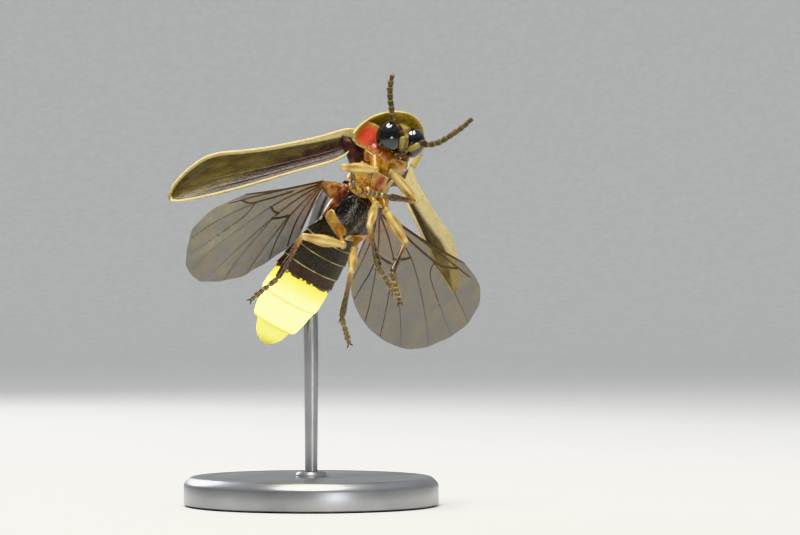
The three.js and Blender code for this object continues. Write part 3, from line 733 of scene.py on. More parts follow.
# %% The first ring and the folds below the shield
def side_fold(side):
    """The shield's margin folds inward below the flank, as a leaf from front to hind.

    Across it the share c runs from the outer line y = 1.97, z = 0.02 to the inner line
    y = 1.12, z = -0.8, and bulges outward by 0.1 x sin(pi c). It is 0.1 mm thick, and thins to
    its borders by the same edge height as a plate."""
    along = np.linspace(-1, 1, 60)[:, None]
    c = crowded(40)[None, :]
    edge = edge_height(along, 2 * c - 1, 8)
    x = 0.26 + 0.12 * c + along * 0.74 * (1 - np.abs(2 * c - 1) ** 3.0) ** 0.3
    bulge = 0.1 * np.sin(np.pi * c) + 0.05 * edge
    y = side * (1.97 - 0.85 * c + 0.7 * bulge) + 0 * x
    z = 0.02 - 0.82 * c**1.15 - 0.7 * bulge + 0 * x
    top = np.stack([x, y, z], -1)
    bottom = np.stack([x, y - side * 0.08 * edge, z + 0.1 * edge + 0.005], -1)
    return leaf(top, bottom, np.maximum(edge, 0.83), 1.0)


build("prothorax", [
    trunk_ring(-0.5, 0.95, [
        (0.15, -112, 0.35, 0.4, 0.1), (0.15, -66, 0.35, 0.4, 0.1), (0.3, -90, 0.3, 0.12, -0.12),
        (-0.2, -135, 0.1, 0.6, -0.06), (-0.2, -45, 0.1, 0.6, -0.06)], (0.3, 0.2)),
    side_fold(-1), side_fold(1),
    *plate_pair(-0.2, 0.28, 62, [(0, 20), (0.5, 26), (1, 22)], 0.05),
    *plate_pair(0.34, 0.88, 74, [(0, 22), (0.5, 20), (1, 12)], 0.06),
    *plate_pair(-0.28, 0.1, 24, [(0, 10), (0.5, 12), (1, 8)], 0.05),
], AMBER, "amber_cuticle")

# %% The other two rings of the thorax
build("mesothorax", [
    trunk_ring(0.7, 2.55, [
        (1.9, -112, 0.4, 0.35, 0.12), (1.9, -66, 0.4, 0.35, 0.12), (1.2, -150, 0.4, 0.3, 0.06),
        (1.2, -30, 0.4, 0.3, 0.06), (1.0, -90, 0.2, 1.0, -0.06)]),
    trunk_plate(1.0, 2.3, 270, [(0, 24), (0.35, 22), (0.75, 12), (1, 5)], 0.14, crown=0.06, seam=0.05),
    *plate_pair(1.05, 2.35, 51, [(0, 14), (0.5, 17), (1, 10)], 0.07),
    *plate_pair(1.0, 2.3, 78, [(0, 8), (0.5, 10), (1, 8)], 0.08),
    trunk_plate(1.05, 1.65, 90, [(0, 34), (0.5, 36), (1, 34)], 0.08),
    trunk_plate(1.2, 2.35, 90, [(0, 30), (0.5, 16), (1, 2)], 0.2, crown=0.05),
], AMBER, "amber_cuticle")
build("hip_plates", [
    *plate_pair(4.22, 4.9, 41, [(0, 34), (0.5, 39), (1, 36)], 0.14, crown=0.05, slant=0.28),
    *plate_pair(2.2, 2.62, 38, [(0, 30), (0.5, 30), (1, 24)], 0.12, bow=(0.06, 0.06), crown=0.03),
], AMBER, "amber_cuticle", replaces=False)
build("metathorax", [
    trunk_ring(2.3, 5.0, [(4.6, -120, 0.4, 0.5, 0.05), (4.6, -60, 0.4, 0.5, 0.05)]),
    trunk_plate(2.5, 4.62, 270, [(0, 30), (0.3, 58), (0.8, 62), (1, 48)], 0.13, (0, 0.25), 0.05, 0.06),
    *plate_pair(2.5, 4.6, 74, [(0, 10), (0.4, 12), (1, 7)], 0.1),
    trunk_plate(2.45, 4.7, 90, [(0, 50), (0.5, 54), (1, 50)], 0.06, crown=0.03, seam=0.05),
], PITCH, "dark_cuticle")

# %% [markdown]
# ## The neck shield
#
# A broad shield covers the thorax from above and reaches forward over the head like a hood.
# Its disc is domed, and its margin is thin, flat and clear enough to let light through. From
# above it is cream with a black spot between two rosy patches. From below it looks olive and
# finely mottled, like parchment, with a bright pale rim. It is made as rings that grow from the
# middle of the top out to the rim, roll over it, and shrink again on the underside.

# %% Shape of the shield
SHIELD_LENGTH, SHIELD_HALF, SHIELD_CROWN, SHIELD_DROP = 2.5, 2.3, 1.05, 0.45


def shield_rim(count):
    """The outline: x = 2.5 sin t, y = 2.3 cos t |cos t|^0.12, closed by a hind edge in two bows."""
    t = np.linspace(0, np.pi, 300)
    across = np.cos(t) * np.abs(np.cos(t)) ** 0.12
    front = np.stack([SHIELD_LENGTH * np.sin(t), SHIELD_HALF * across], 1)
    y = np.linspace(-1, 1, 120)[1:-1]
    hind = np.stack([-0.05 * np.cos(2 * np.pi * y) + 0.05 * y**2, SHIELD_HALF * y], 1)
    line = np.concatenate([front, hind, front[:1]])
    gone = np.concatenate([[0], np.cumsum(np.linalg.norm(np.diff(line, axis=0), axis=1))])
    want = np.linspace(0, gone[-1], count, endpoint=False)
    return np.stack([np.interp(want, gone, line[:, k]) for k in range(2)], 1)


def shield_height(x, y):
    """Dome: crown x (1 - across squared) x (1 - along^2.6), less a drop that grows forward."""
    along = np.clip(x / SHIELD_LENGTH, 0, 1)
    half = SHIELD_HALF * np.maximum(1 - along**2, 0.002) ** 0.56
    across = np.clip(np.abs(y) / half, 0, 1)
    return SHIELD_CROWN * (1 - across**2) * (1 - along**2.6) - 0.2 - SHIELD_DROP * along**2



def shield_form():
    """Rings between the middle and the rim, on the top and then back on the underside.

    Half the thickness falls from 0.15 mm in the middle to 0.05 mm at the margin, with a bead of
    0.07 mm along the rim itself. A furrow runs down the middle, and a step parts disc and margin."""
    rim = shield_rim(240)
    share = np.sin(np.linspace(0, 1, 64) * np.pi / 2)[:, None]
    x = 1 + (rim[:, 0] - 1) * share
    y = rim[:, 1] * share
    height = shield_height(x, y)
    half = 0.15 - 0.1 * fade(share, 0.6, 0.86) + 0.035 * bell(share - 0.975, 0.014)
    half = half * rounding((share - 0.975) / 0.0252)
    furrow = 0.05 * bell(y, 0.09) * fade(x, 0.1, 0.6) * (1 - fade(x, 1.6, 2.2))
    top = np.stack([x, y, height + half - furrow * (1 - fade(share, 0.7, 0.9))], -1)
    bottom = np.stack([x, y, height - half], -1)
    tones = 0.5 + 0.5 * (1 - share) + 0 * x
    rings = np.concatenate([top, bottom[::-1][1:]])
    return shell(rings, np.concatenate([tones, 1 - tones[::-1][1:]]))


# %% Finish of the shield
def hood_spots(under, marks):
    """Soft spots on the shield, from their middle, reach, strength and colour."""
    return spots(under, "mottled", 0.5, [
        (middle, reach * 0.75 + 0.25, reach * 1.15 + 0.25, force, code)
        for middle, reach, force, code in marks])


SHIELD = make_finish("shield cuticle", {
    "Roughness": 0.42, "Subsurface Weight": 0.3, "Subsurface Scale": 0.0002, "Coat Weight": 0.12,
}, {
    "cloud": ("TexNoise", {"Scale": 2.2, "Detail": 7.0, "Roughness": 0.62}),
    "speck": ("TexNoise", {"Scale": 9.0, "Detail": 4.0, "Roughness": 0.6}),
    "mottle": ("Math MULTIPLY_ADD", {0: "speck", 1: 0.45, 2: -0.22}),
    "mottled": ("Math ADD", {0: "cloud", 1: "mottle"}),
    # The olive mottle below is the cuticle's own, painted lighter as painted light in the shade under
    # the hood
    "under": ("ValToRGB", {0: "mottled", "stops": {
        0.3: "6a5618", 0.43: "9a8834", 0.56: "c0ac58", 0.7: "e0d08c"}}),
    "above": ("ValToRGB", {0: "mottled", "stops": {0.3: "c9b46a", 0.7: "eadfae"}}),
    # Rosy patches beside a black spot above; coral and cream corners below
    **hood_spots("above", [
        ((0.95, 0.75, 0.4), 0.62, 0.85, "c8503c"), ((0.95, -0.75, 0.4), 0.62, 0.85, "c8503c"),
        ((0.8, 0.0, 0.85), 0.4, 1.0, "140c08"), ((1.25, 0.0, 0.6), 0.36, 1.0, "140c08")]),
    **hood_spots("under", [
        ((0.25, -1.35, 0.2), 0.62, 0.95, "d2482e"), ((0.25, 1.35, 0.2), 0.5, 0.5, "d2482e"),
        ((0.1, 2.1, -0.1), 1.0, 0.95, "f8efc8"), ((0.0, -2.15, -0.1), 0.4, 0.7, "cfa85a")]),
    "is top": ("MapRange", {0: "tone", "from": (0.47, 0.53)}),
    "sides": ("Mix RGBA", {0: "is top", 6: "under spot 3", 7: "above spot 3"}),
    "is rim": ("ValToRGB", {0: "tone", "stops": {0.44: 0, 0.478: 1, 0.53: 1, 0.6: 0}}),
    "Base Color": ("Mix RGBA", {0: "is rim", 6: "sides", 7: "e3dc8e"}),
    # Grains about 0.1 mm apart, as on fine leather
    "grain": ("TexVoronoi", {"Scale": 9.0}),
    "height": ("Math ADD", {0: "grain", 1: "speck"}),
    "Normal": ("Bump", {"Height": "height", "Distance": 0.03 * MM}),
})
build("pronotum", shield_form(), SHIELD, "shield", sharp=70)

# %% [markdown]
# ## The head
#
# The head hangs below the shield's hood and turns its face to the viewer. Nearly all of it is
# eye: two black half globes that almost meet, with a narrow olive strip of face between them.
# Blended egg forms give the skull, the snout and the two sockets of the feelers. From a centre,
# rays march out in all directions to where the blended form ends, which gives a closed grid.

# %% Blended forms
HEAD_AT = np.array([1.1, -0.09, -1.1])
HEAD_TURN = turned(-4, 67, -15.6)


def head_place(points):
    """From the head's own frame, face forward and crown up, to the world."""
    return body_place(np.asarray(points, float) @ HEAD_TURN.T + HEAD_AT)


def blended(forms, centre, soft, rows, columns, hollows):
    """A closed grid round the soft union of egg forms.

    Each egg's measure at a point p is (|(p - middle) / radii| - 1) x smallest radius. The soft
    union is -soft x log(sum of exp(-measure / soft)), and every hollow adds
    depth x exp(-|(p - middle) / radii| squared). Halving steps find where the sum is 0."""
    polar = np.linspace(0.02, np.pi - 0.02, rows)[:, None]
    around = circle(columns)
    ray = np.stack([np.sin(polar) * np.cos(around), np.cos(polar) + 0 * around,
                    np.sin(polar) * np.sin(around)], axis=-1)
    near, far = np.zeros(ray.shape[:2]), np.full(ray.shape[:2], 4.0)
    for _ in range(26):
        reach = (near + far) / 2
        p = np.asarray(centre) + ray * reach[..., None]
        total = 0.0
        for middle, radii in forms:
            measure = (np.linalg.norm((p - middle) / radii, axis=-1) - 1) * min(radii)
            total = total + np.exp(-np.clip(measure, -4, 4) / soft)
        value = -soft * np.log(total)
        for middle, radii, depth in hollows:
            value = value + depth * np.exp(-np.sum(((p - middle) / radii) ** 2, axis=-1))
        near, far = np.where(value < 0, reach, near), np.where(value < 0, far, reach)
    return shell(np.asarray(centre) + ray * near[..., None], np.linspace(0, 1, rows)[:, None])


# %% Finish of the face
FACE = make_finish("face cuticle", {
    "Roughness": 0.34, "Subsurface Weight": 0.2, "Subsurface Scale": 0.00015, "Coat Weight": 0.3,
}, {
    "cloud": ("TexNoise", {"Scale": 4.0, "Detail": 5.0}),
    "olive": ("ValToRGB", {0: "cloud", "stops": {0.32: "4b3d18", 0.5: "837033", 0.68: "b3a25c"}}),
    "brown": ("ValToRGB", {0: "cloud", "stops": {0.35: "2a1210", 0.65: "5a3328"}}),
    "is snout": ("MapRange", {0: "z", "from": (-0.45, -0.75)}),
    "front": ("Mix RGBA", {0: "is snout", 6: "olive", 7: "brown"}),
    "is nape": ("MapRange", {0: "x", "from": (-0.2, -0.6)}),
    "Base Color": ("Mix RGBA", {0: "is nape", 6: "front", 7: "3a1a14"}),
    "dents": ("TexVoronoi", {"Scale": 14.0}),
    "Normal": ("Bump", {"Height": "dents", "Distance": 0.02 * MM}),
})

# %% Skull with snout and feeler sockets
skull = blended(
    [((-0.25, 0, 0.05), (0.7, 0.96, 0.84)), ((0.14, 0, -0.66), (0.34, 0.34, 0.4)),
     ((0.36, -0.17, -0.56), (0.15, 0.13, 0.15)), ((0.36, 0.24, -0.54), (0.15, 0.13, 0.15)),
     ((0.36, 0.03, -0.28), (0.25, 0.2, 0.52))],
    (-0.1, 0, -0.1), soft=0.04, rows=110, columns=128,
    hollows=[((0.6, 0.03, -0.2), (0.2, 0.04, 0.35), 0.04), ((0.5, 0, -0.78), (0.2, 0.4, 0.03), 0.04)],
)
build("head", skull, FACE, "face_cuticle", move=head_place)

# %% [markdown]
# ## The eyes
#
# A firefly's eye is a dome of many hundred tiny lenses, black inside, under one glassy skin.
# At this size the lenses show only as a fine hammering of the gloss, about 0.03 mm apart, so
# they are a relief in the finish. A dark red brown ring borders each eye, where the black
# thins out. The strong clear coat gives the small sharp lights that make the eye look wet.

# %% Eye finish
EYE = make_finish("eye lens", {
    "Roughness": 0.07, "IOR": 1.6, "Coat Weight": 1.0, "Coat Roughness": 0.02,
}, {
    "cloud": ("TexNoise", {"Scale": 3.0, "Detail": 3.0}),
    "low": ("VectorMath DOT_PRODUCT", {0: "place", 1: (-0.45, 0.0, -0.6)}),
    "border": ("Math MULTIPLY_ADD", {0: "cloud", 1: 0.2, 2: "low"}),
    "Base Color": ("ValToRGB", {0: "border", "stops": {
        0.0: "020203", 0.42: "040203", 0.5: "260906", 0.62: "5a1a10"}}),
    "lenses": ("TexVoronoi", {"Scale": 30.0, "Randomness": 0.3}),
    "Normal": ("Bump", {"Height": "lenses", "Distance": 0.0012 * MM}),
})


def eye_form(side, middle, radii):
    """An egg with its pole on the outer side, from its middle and three radii in mm.

    The tone runs from 0 at the outer pole to 1 at the inner one. Near the inner border the
    form steps in by a small groove, which parts the eye from the face."""
    polar = np.linspace(0.03, np.pi - 0.03, 90)[:, None]
    around = circle(128)
    swell = (1 - 0.05 * bell(polar - 2.05, 0.06)) * (1 + 0.012 * np.cos(2 * polar))
    x = middle[0] + radii[0] * np.sin(polar) * np.cos(around) * swell
    y = middle[1] + side * radii[1] * np.cos(polar) + 0 * around
    z = middle[2] + radii[2] * np.sin(polar) * np.sin(around) * swell
    return shell(np.stack([x, y, z], axis=-1), polar / np.pi)


for name, side, middle, radii in (
    ("eye_right", -1, (0.05, -0.75, -0.05), (0.73, 0.76, 0.92)),
    ("eye_left", 1, (0.05, 0.69, -0.03), (0.69, 0.7, 0.83)),
):
    build(name, eye_form(side, middle, radii), EYE, "eye", move=head_place)

# %% [markdown]
# ## Feelers and mouth
#
# Each feeler has a stout polished club at its root, one short ring, and nine flattened joints
# that widen towards their ends, so its outline is finely sawn. A foot is jointed in the same
# manner. One function serves both: the radius along the line swells once in every joint.
# The mouth has an upper lip, two thin curved jaws and two pairs of jointed palps, whose last
# joints are dark and blunt with pale rims.

# %% Jointed tubes
def jointed(points, stops, thick, waist=0.72, flat=0.8, saw=0.0):
    """A tube that swells once in every joint.

    In a joint the share t goes from 0 to 1 and the radius is
    thick x (waist + (1 - waist) x sin(pi x t^1.4)^0.6), pinched by a quarter at both ends. The
    saw pushes the far end of each joint to one side."""
    stops, thick = np.asarray(stops, float), np.array(thick)
    t = np.tile(np.linspace(0, 1, 14), len(thick))
    joint = np.repeat(np.arange(len(thick)), 14)
    shares = stops[joint] + t * 0.995 * (stops[joint + 1] - stops[joint])
    swell = waist + (1 - waist) * np.abs(np.sin(np.pi * t**1.4)) ** 0.6
    pinch = 1 - 0.25 * bell(t, 0.05) - 0.25 * bell(t - 1, 0.05)
    radius = thick[joint] * swell * pinch * np.maximum(end_rounding(shares, 0.004, 0.02), 0.05)
    one_side = np.clip(np.cos(circle(28)), 0, 1) ** 2
    reach = radius[:, None] * (1 + saw * t[:, None] ** 2 * one_side)
    rings = line_rings(points, shares, reach, flat, (0.1, 0.2, 1.0), 28)
    return shell(rings, np.clip(t, 0.02, 0.98)[:, None])


# %% Finish of the feelers
FEELER = make_finish("feeler cuticle", {"Roughness": 0.45, "Coat Weight": 0.15}, {
    "cloud": ("TexNoise", {"Scale": 6.0, "Detail": 4.0}),
    "olive": ("ValToRGB", {0: "cloud", "stops": {0.35: "2e2610", 0.65: "6c5c2a"}}),
    # The pale ends of every joint are painted highlights, where each joint flares
    "is tip": ("ValToRGB", {0: "tone", "stops": {0.0: 0.3, 0.08: 0, 0.82: 0, 0.97: 1}}),
    # The long root joint is pale green, and the two after it are plum brown
    "first": ("ValToRGB", {0: "along", "stops": {
        0.0: "8a7a3c", 0.085: "b5a860", 0.092: "3a1d18", 0.26: "43251d", 0.36: "5a4a22"}}),
    "is first": ("MapRange", {0: "along", "from": (0.4, 0.2)}),
    "joints": ("Mix RGBA", {0: "is first", 6: "olive", 7: "first"}),
    "Base Color": ("Mix RGBA", {0: "is tip", 6: "joints", 7: "b3a468"}),
    "grain": ("TexVoronoi", {"Scale": 22.0}),
    "Normal": ("Bump", {"Height": "grain", "Distance": 0.015 * MM}),
})


# %% The feelers
def head_point(x, y, z):
    """A point of the head's frame in the animal's frame."""
    return HEAD_TURN @ np.array([x, y, z]) + HEAD_AT


FEELER_STOPS = [0, 0.17, 0.235] + [0.235 + 0.085 * k for k in range(1, 10)]
FEELER_THICK = [0.16, 0.125] + [0.145] * 3 + [0.14] * 4 + [0.13, 0.115]
FEELERS = {
    "antenna_right": [
        head_point(0.45, -0.17, -0.6), head_point(0.7, -0.32, -0.25), head_point(0.76, -0.42, 0.1),
        (1.82, -1.2, -1.17), (2.15, -1.55, -1.12), (2.75, -2.1, -1.1), (3.3, -2.5, -1.1),
        (3.9, -2.85, -1.25)],
    "antenna_left": [
        head_point(0.45, 0.26, -0.57), head_point(0.8, 0.56, -0.3), head_point(0.84, 0.88, 0.02),
        head_point(0.9, 1.12, -0.08), (2.05, 1.35, -2.2), (2.5, 1.6, -2.25), (3.25, 2.0, -2.25),
        (4.05, 2.4, -2.1)],
}
for name, points in FEELERS.items():
    feeler = jointed(points, FEELER_STOPS, FEELER_THICK, waist=0.8, saw=0.3)
    build(name, feeler, FEELER, "feeler_cuticle")

# %% Finish of the mouthparts
MOUTH = make_finish("mouth cuticle", {
    "Roughness": 0.25, "Coat Weight": 0.4, "Subsurface Weight": 0.15, "Subsurface Scale": 0.0001,
}, {
    "cloud": ("TexNoise", {"Scale": 6.0, "Detail": 3.0}),
    "dark": ("ValToRGB", {0: "cloud", "stops": {0.35: "341a14", 0.55: "5c3a26", 0.7: "8c7240"}}),
    "is pale": ("ValToRGB", {0: "tone", "stops": {0.0: 0.8, 0.12: 0, 0.8: 0, 0.95: 0.9}}),
    "Base Color": ("Mix RGBA", {0: "is pale", 6: "dark", 7: "d9b98a"}),
    "Normal": ("Bump", {"Height": "cloud", "Distance": 0.03 * MM}),
})


# %% The mouthparts
def mouth_forms():
    """Lip, jaws and palps in the head's frame, each as a tube or a jointed tube."""
    forms = [tube(
        [(0.26, 0, -0.66), (0.42, -0.02, -0.78), (0.42, -0.04, -0.93)],
        [(0, 0.2), (0.6, 0.2), (1, 0.14)],
        flat=0.45, up=(1, 0, 0.3), ends=(0.05, 0.3), tone=[0.5, 0.5, 0.9])]
    for side in (-1, 1):
        forms.append(tube(
            [(0.28, 0.2 * side, -0.8), (0.42, 0.23 * side, -0.9), (0.42, 0.06 * side, -1.04)],
            [(0, 0.11), (0.5, 0.085), (1, 0.02)], flat=0.7, up=(1, 0, 0), tone=[0.6, 0.4, 0.5]))
        forms.append(jointed(
            [(0.2, 0.22 * side, -0.84), (0.34, 0.36 * side, -0.9), (0.42, 0.4 * side, -1.02),
             (0.36, 0.3 * side, -1.2)], [0, 0.2, 0.42, 0.6, 1.0], [0.07, 0.085, 0.09, 0.11]))
        forms.append(jointed(
            [(0.18, 0.1 * side, -0.9), (0.3, 0.15 * side, -1.06), (0.32, 0.1 * side, -1.22)],
            [0, 0.3, 0.55, 1.0], [0.06, 0.075, 0.095]))
    forms.append(tube(
        [(0.08, 0, -0.75), (0.2, 0, -0.98), (0.2, 0, -1.12)], [(0, 0.24), (0.6, 0.2), (1, 0.12)],
        flat=0.7, up=(1, 0, 0)))
    return forms


build("mouthparts", mouth_forms(), MOUTH, "mouth_cuticle", move=head_place)

# %% [markdown]
# ## The legs
#
# Six legs hang below the body in flight. Each has a cone-shaped hip, a small ring, a spindle
# thigh full of muscle, a slim shin with two spurs, and a foot of five joints whose fourth is
# cleft like a heart. The foot ends in two claws. Thighs are amber and let light through; shins
# start pale and darken; feet are brown with pale joints. The tone carries that change along
# the leg, from 0 at the hip to 1 at the claws.

# %% Finish of the legs
LEG = make_finish("leg cuticle", {
    "Roughness": 0.26, "Subsurface Weight": 0.12, "Subsurface Scale": 0.0001, "Coat Weight": 0.6,
}, {
    "cloud": ("TexNoise", {"Scale": 2.4, "Detail": 5.0, "Roughness": 0.6}),
    "waver": ("Math MULTIPLY_ADD", {0: "cloud", 1: 0.06, 2: -0.03}),
    "down leg": ("Math ADD", {0: "tone", 1: "waver"}),
    "limb": ("ValToRGB", {0: "down leg", "stops": {
        0.0: "a05c1c", 0.1: "b9802e", 0.14: "c8a050", 0.165: "6d4616", 0.2: "d9bf72",
        0.3: "b8933a", 0.42: "a87a26", 0.475: "d6bd78", 0.52: "a07426", 0.585: "6a3a1c",
        0.65: "30150e", 0.755: "2a130d", 0.785: "dccd96", 0.815: "5e4a28", 0.95: "544022",
        0.99: "d8c890"}}),
    # Pale streaks along the thigh are painted light, standing for light that passes through the flesh
    # inside
    "long": ("Mapping", {"Vector": "map", "Scale": (7.0, 1.6, 1.0)}),
    "fibre": ("TexNoise", {"Vector": "long", "Scale": 1.0, "Detail": 3.0}),
    "is light": ("ValToRGB", {0: "fibre", "stops": {0.47: 0, 0.62: 0.8}}),
    "is thigh": ("ValToRGB", {0: "tone", "stops": {0.16: 0, 0.2: 1, 0.5: 1, 0.54: 0}}),
    "streak": ("Math MULTIPLY", {0: "is light", 1: "is thigh"}),
    "lit": ("Mix RGBA", {0: "streak", 6: "limb", 7: "ecd998"}),
    "is deep": ("ValToRGB", {0: "fibre", "stops": {0.3: 0.55, 0.44: 0}}),
    "Base Color": ("Mix RGBA", {0: "is deep", 6: "lit", 7: "84601c"}),
    "grain": ("TexNoise", {"Scale": 14.0, "Detail": 4.0}),
    "Normal": ("Bump", {"Height": "grain", "Distance": 0.02 * MM}),
})


# %% One leg
def leg_forms(hips, hang, knee, ankle, toe, thick, hip):
    """Hip, ring, thigh, shin with spurs, five foot joints and two claws, as closed tubes."""
    hips, hang, knee, ankle, toe = (np.asarray(p, float) for p in (hips, hang, knee, ankle, toe))
    thigh, shin, out = unit(knee - hang), unit(ankle - knee), unit(toe - ankle)
    side = unit(np.cross(out, (0.0, 0.0, 1.0)))
    foot = jointed(
        [ankle - shin * 0.03, ankle + (toe - ankle) * 0.3, toe], [0, 0.34, 0.53, 0.68, 0.84, 1.0],
        [0.15, 0.145, 0.145, 0.17, 0.115], waist=0.68, flat=0.7)
    foot["tone"] = 0.8 + 0.19 * foot["tone"]
    forms = [
        tube([*np.atleast_2d(hips), hang],
             [(0, hip), (0.3, hip * 0.9), (0.75, hip * 0.5), (1, 0.17)],
             flat=0.8, ends=(0.1, 0.12), tone=[0.0, 0.15]),
        tube([hang - thigh * 0.22, hang + thigh * 0.2], [(0, 0.2), (0.5, 0.23), (1, 0.18)],
             ends=(0.4, 0.4), tone=[0.17, 0.19], rows=16),
        tube([hang, (hang + knee) / 2, knee + thigh * 0.1],
             [(0, 0.14), (0.12, 0.2), (0.45, thick), (0.85, 0.2), (1, 0.2)],
             flat=0.78, ends=(0.03, 0.1), tone=[0.19, 0.49], rows=44, sides=32),
        tube([knee - shin * 0.06, (knee + ankle) / 2, ankle],
             [(0, 0.12), (0.06, 0.13), (0.5, 0.14), (0.92, 0.19), (1, 0.17)],
             flat=0.8, ends=(0.04, 0.05), tone=[0.5, 0.76], rows=36, sides=24),
        foot,
    ]
    for way in (-1, 1):
        aside = side * way
        forms.append(tube(
            [ankle + aside * 0.08, ankle + shin * 0.3 + aside * 0.13], [(0, 0.04), (1, 0.012)],
            rows=8, sides=8, tone=0.7))
        forms.append(tube(
            [toe - out * 0.05, toe + out * 0.14 + aside * 0.13, toe + out * 0.24 + aside * 0.19],
            [(0, 0.06), (0.5, 0.045), (1, 0.012)], rows=14, sides=10, tone=0.72))
    return forms


# Hip, where the thigh hangs, knee, ankle and toe in mm, then the thigh's and the hip's radius
LEGS = {
    "leg_front_right": ((-0.45, -0.66, -0.8), (-0.95, -1.03, -2.0), (-1.66, -2.89, -2.04),
                        (-1.62, -1.6, -1.0), (-2.33, -1.42, -1.7), 0.32, 0.5),
    "leg_front_left": ((-0.25, 0.42, -1.0), (-0.6, 0.02, -1.82), (-1.25, 1.65, -2.95),
                       (-1.73, -0.14, -3.17), (-2.15, -1.65, -3.12), 0.28, 0.5),
    "leg_middle_right": ((-2.05, -0.5, -1.5), (-2.5, -0.22, -2.6), (-3.55, -0.8, -4.15),
                         (-5.13, 0.7, -4.75), (-5.88, 2.25, -4.8), 0.3, 0.34),
    "leg_middle_left": ((-2.05, 0.62, -1.5), (-2.5, 0.55, -2.6), (-3.35, 1.75, -4.05),
                        (-4.93, 1.05, -5.55), (-6.0, 1.8, -6.55), 0.3, 0.34),
    "leg_hind_right": (((-4.5, -0.8, -1.35), (-4.9, -0.55, -1.72)), (-5.3, -0.35, -2.2),
                       (-6.0, -2.5, -1.7), (-8.6, -2.65, -2.1), (-10.3, -3.2, -1.9), 0.32, 0.24),
    "leg_hind_left": (((-4.5, 0.85, -1.35), (-4.85, 0.6, -1.72)), (-5.25, 0.45, -2.2),
                      (-6.1, -0.3, -4.25), (-8.5, 0.7, -4.3), (-9.6, 2.1, -4.2), 0.32, 0.24),
}
for name, measures in LEGS.items():
    build(name, leg_forms(*measures), LEG, "leg_cuticle")

# %% [markdown]
# ## The wing cases
#
# In flight the two wing cases stand out from the shoulders and take no part in the beat. Each
# is a thin, slightly domed strip of tough cuticle with a pale beaded rim. Its upper side is
# nearly black with fine golden down. From below the outer half is olive and the inner half
# chestnut, parted by a slanting soft line. The shape is a grid: along the span, and across it
# from the front line to the hind line, with four low ribs.

# %% Shape of a wing case
CASE_LENGTH = 10.2
# The front and hind lines: share of the span, then mm from the span's axis
CASE_FRONT = [
    (0, 0.62), (0.01, 0.85), (0.03, 0.95), (0.06, 0.98), (0.1, 0.97), (0.16, 0.97), (0.22, 1.0),
    (0.29, 1.05), (0.43, 1.17), (0.57, 1.38), (0.68, 1.58), (0.76, 1.56), (0.83, 1.32),
    (0.9, 0.98), (0.96, 0.55), (1, 0.1)]
CASE_HIND = [
    (0, 0.1), (0.015, -0.22), (0.04, -0.44), (0.09, -0.59), (0.15, -0.63), (0.3, -0.62),
    (0.5, -0.65), (0.7, -0.66), (0.8, -0.62), (0.91, -0.53), (0.97, -0.42), (1, -0.25)]
# Each wing: place of its root, then sweep, rise and twist in degrees, then 1 right or -1 left
WINGS = {
    "elytron_right": ((-0.62, -1.8, 0.12), (-139.3, 14, 38), 1),
    "elytron_left": ((-0.68, 1.95, 0.05), (117.4, 15, -36), -1),
    "hind_wing_right": ((-3.0, -1.85, 0.2), (-142, -8, -22), 1),
    "hind_wing_left": ((-3.0, 1.85, 0.1), (119.5, -3, 8), -1),
}


def wing_turn(name):
    """The turn of a wing about its span, then up, then back."""
    sweep, rise, twist = WINGS[name][1]
    return turned(0, 0, sweep) @ turned(0, -rise, 0) @ turned(twist, 0, 0)


def wing_place(name):
    """The move from a wing's own frame to the world: mirrored for the left side, then turned
    and carried to its root."""
    root, _, mirror = WINGS[name]
    flip, turn = np.array([1.0, mirror, 1.0]), wing_turn(name)
    return lambda points: body_place((np.asarray(points) * flip) @ turn.T + np.array(root))


def wing_case(pale):
    """z = 0.3 (1 - (2a - 1)^2) - 0.35 s^2 at share s of the span and a of the chord.

    At the root the front corner is drawn out by 0.55 mm to the shield, as a shoulder.
    Half the thickness is 0.07 mm, 0.12 mm in the rim bead, and it rounds off at the edge as
    a circle does. Ribs 0.02 mm high run at four shares of the chord. Below, the tone fades from
    0.45 at the edge to 0 inside, over the pale width on the front side. That width is the case's
    pale margin, widened as painted light where light shines through the case."""
    even = np.linspace(0, 1, 150)
    share = (0.35 * even + 0.65 * np.sin(even * np.pi / 2))[:, None]
    across = crowded(72)[None, :]
    front, hind = (smooth(share, *np.array(line).T) for line in (CASE_FRONT, CASE_HIND))
    width = front - hind
    y = front - width * across
    x = share * CASE_LENGTH - 0.55 * np.exp(-share / 0.05) * (1 - across)
    arch = 0.3 * (1 - (2 * across - 1) ** 2) - 0.35 * share**2
    inward = np.minimum(np.minimum(across, 1 - across) * width, (1 - share) * CASE_LENGTH)
    ribs = sum(bell(across - place, 0.018) for place in (0.2, 0.4, 0.6, 0.8))
    ribs = ribs * 0.02 * fade(share, 0.02, 0.12) * (1 - fade(share, 0.6, 0.9))
    half = (0.07 + 0.05 * bell(inward - 0.09, 0.06) + ribs) * rounding(1 - inward / 0.08)
    pale_and_backlit_width = pale * (1 + 1.3 * np.exp(-share / 0.12))
    border = np.minimum(inward / 0.22, across * width / pale_and_backlit_width)
    top, bottom = (np.stack([x, y, arch + side * half], -1) for side in (1, -1))
    tone_top = 1 - 0.45 * np.clip(1 - inward / 0.3, 0, 1)
    return leaf(top, bottom, tone_top, 0.45 * np.clip(1 - border, 0, 1))


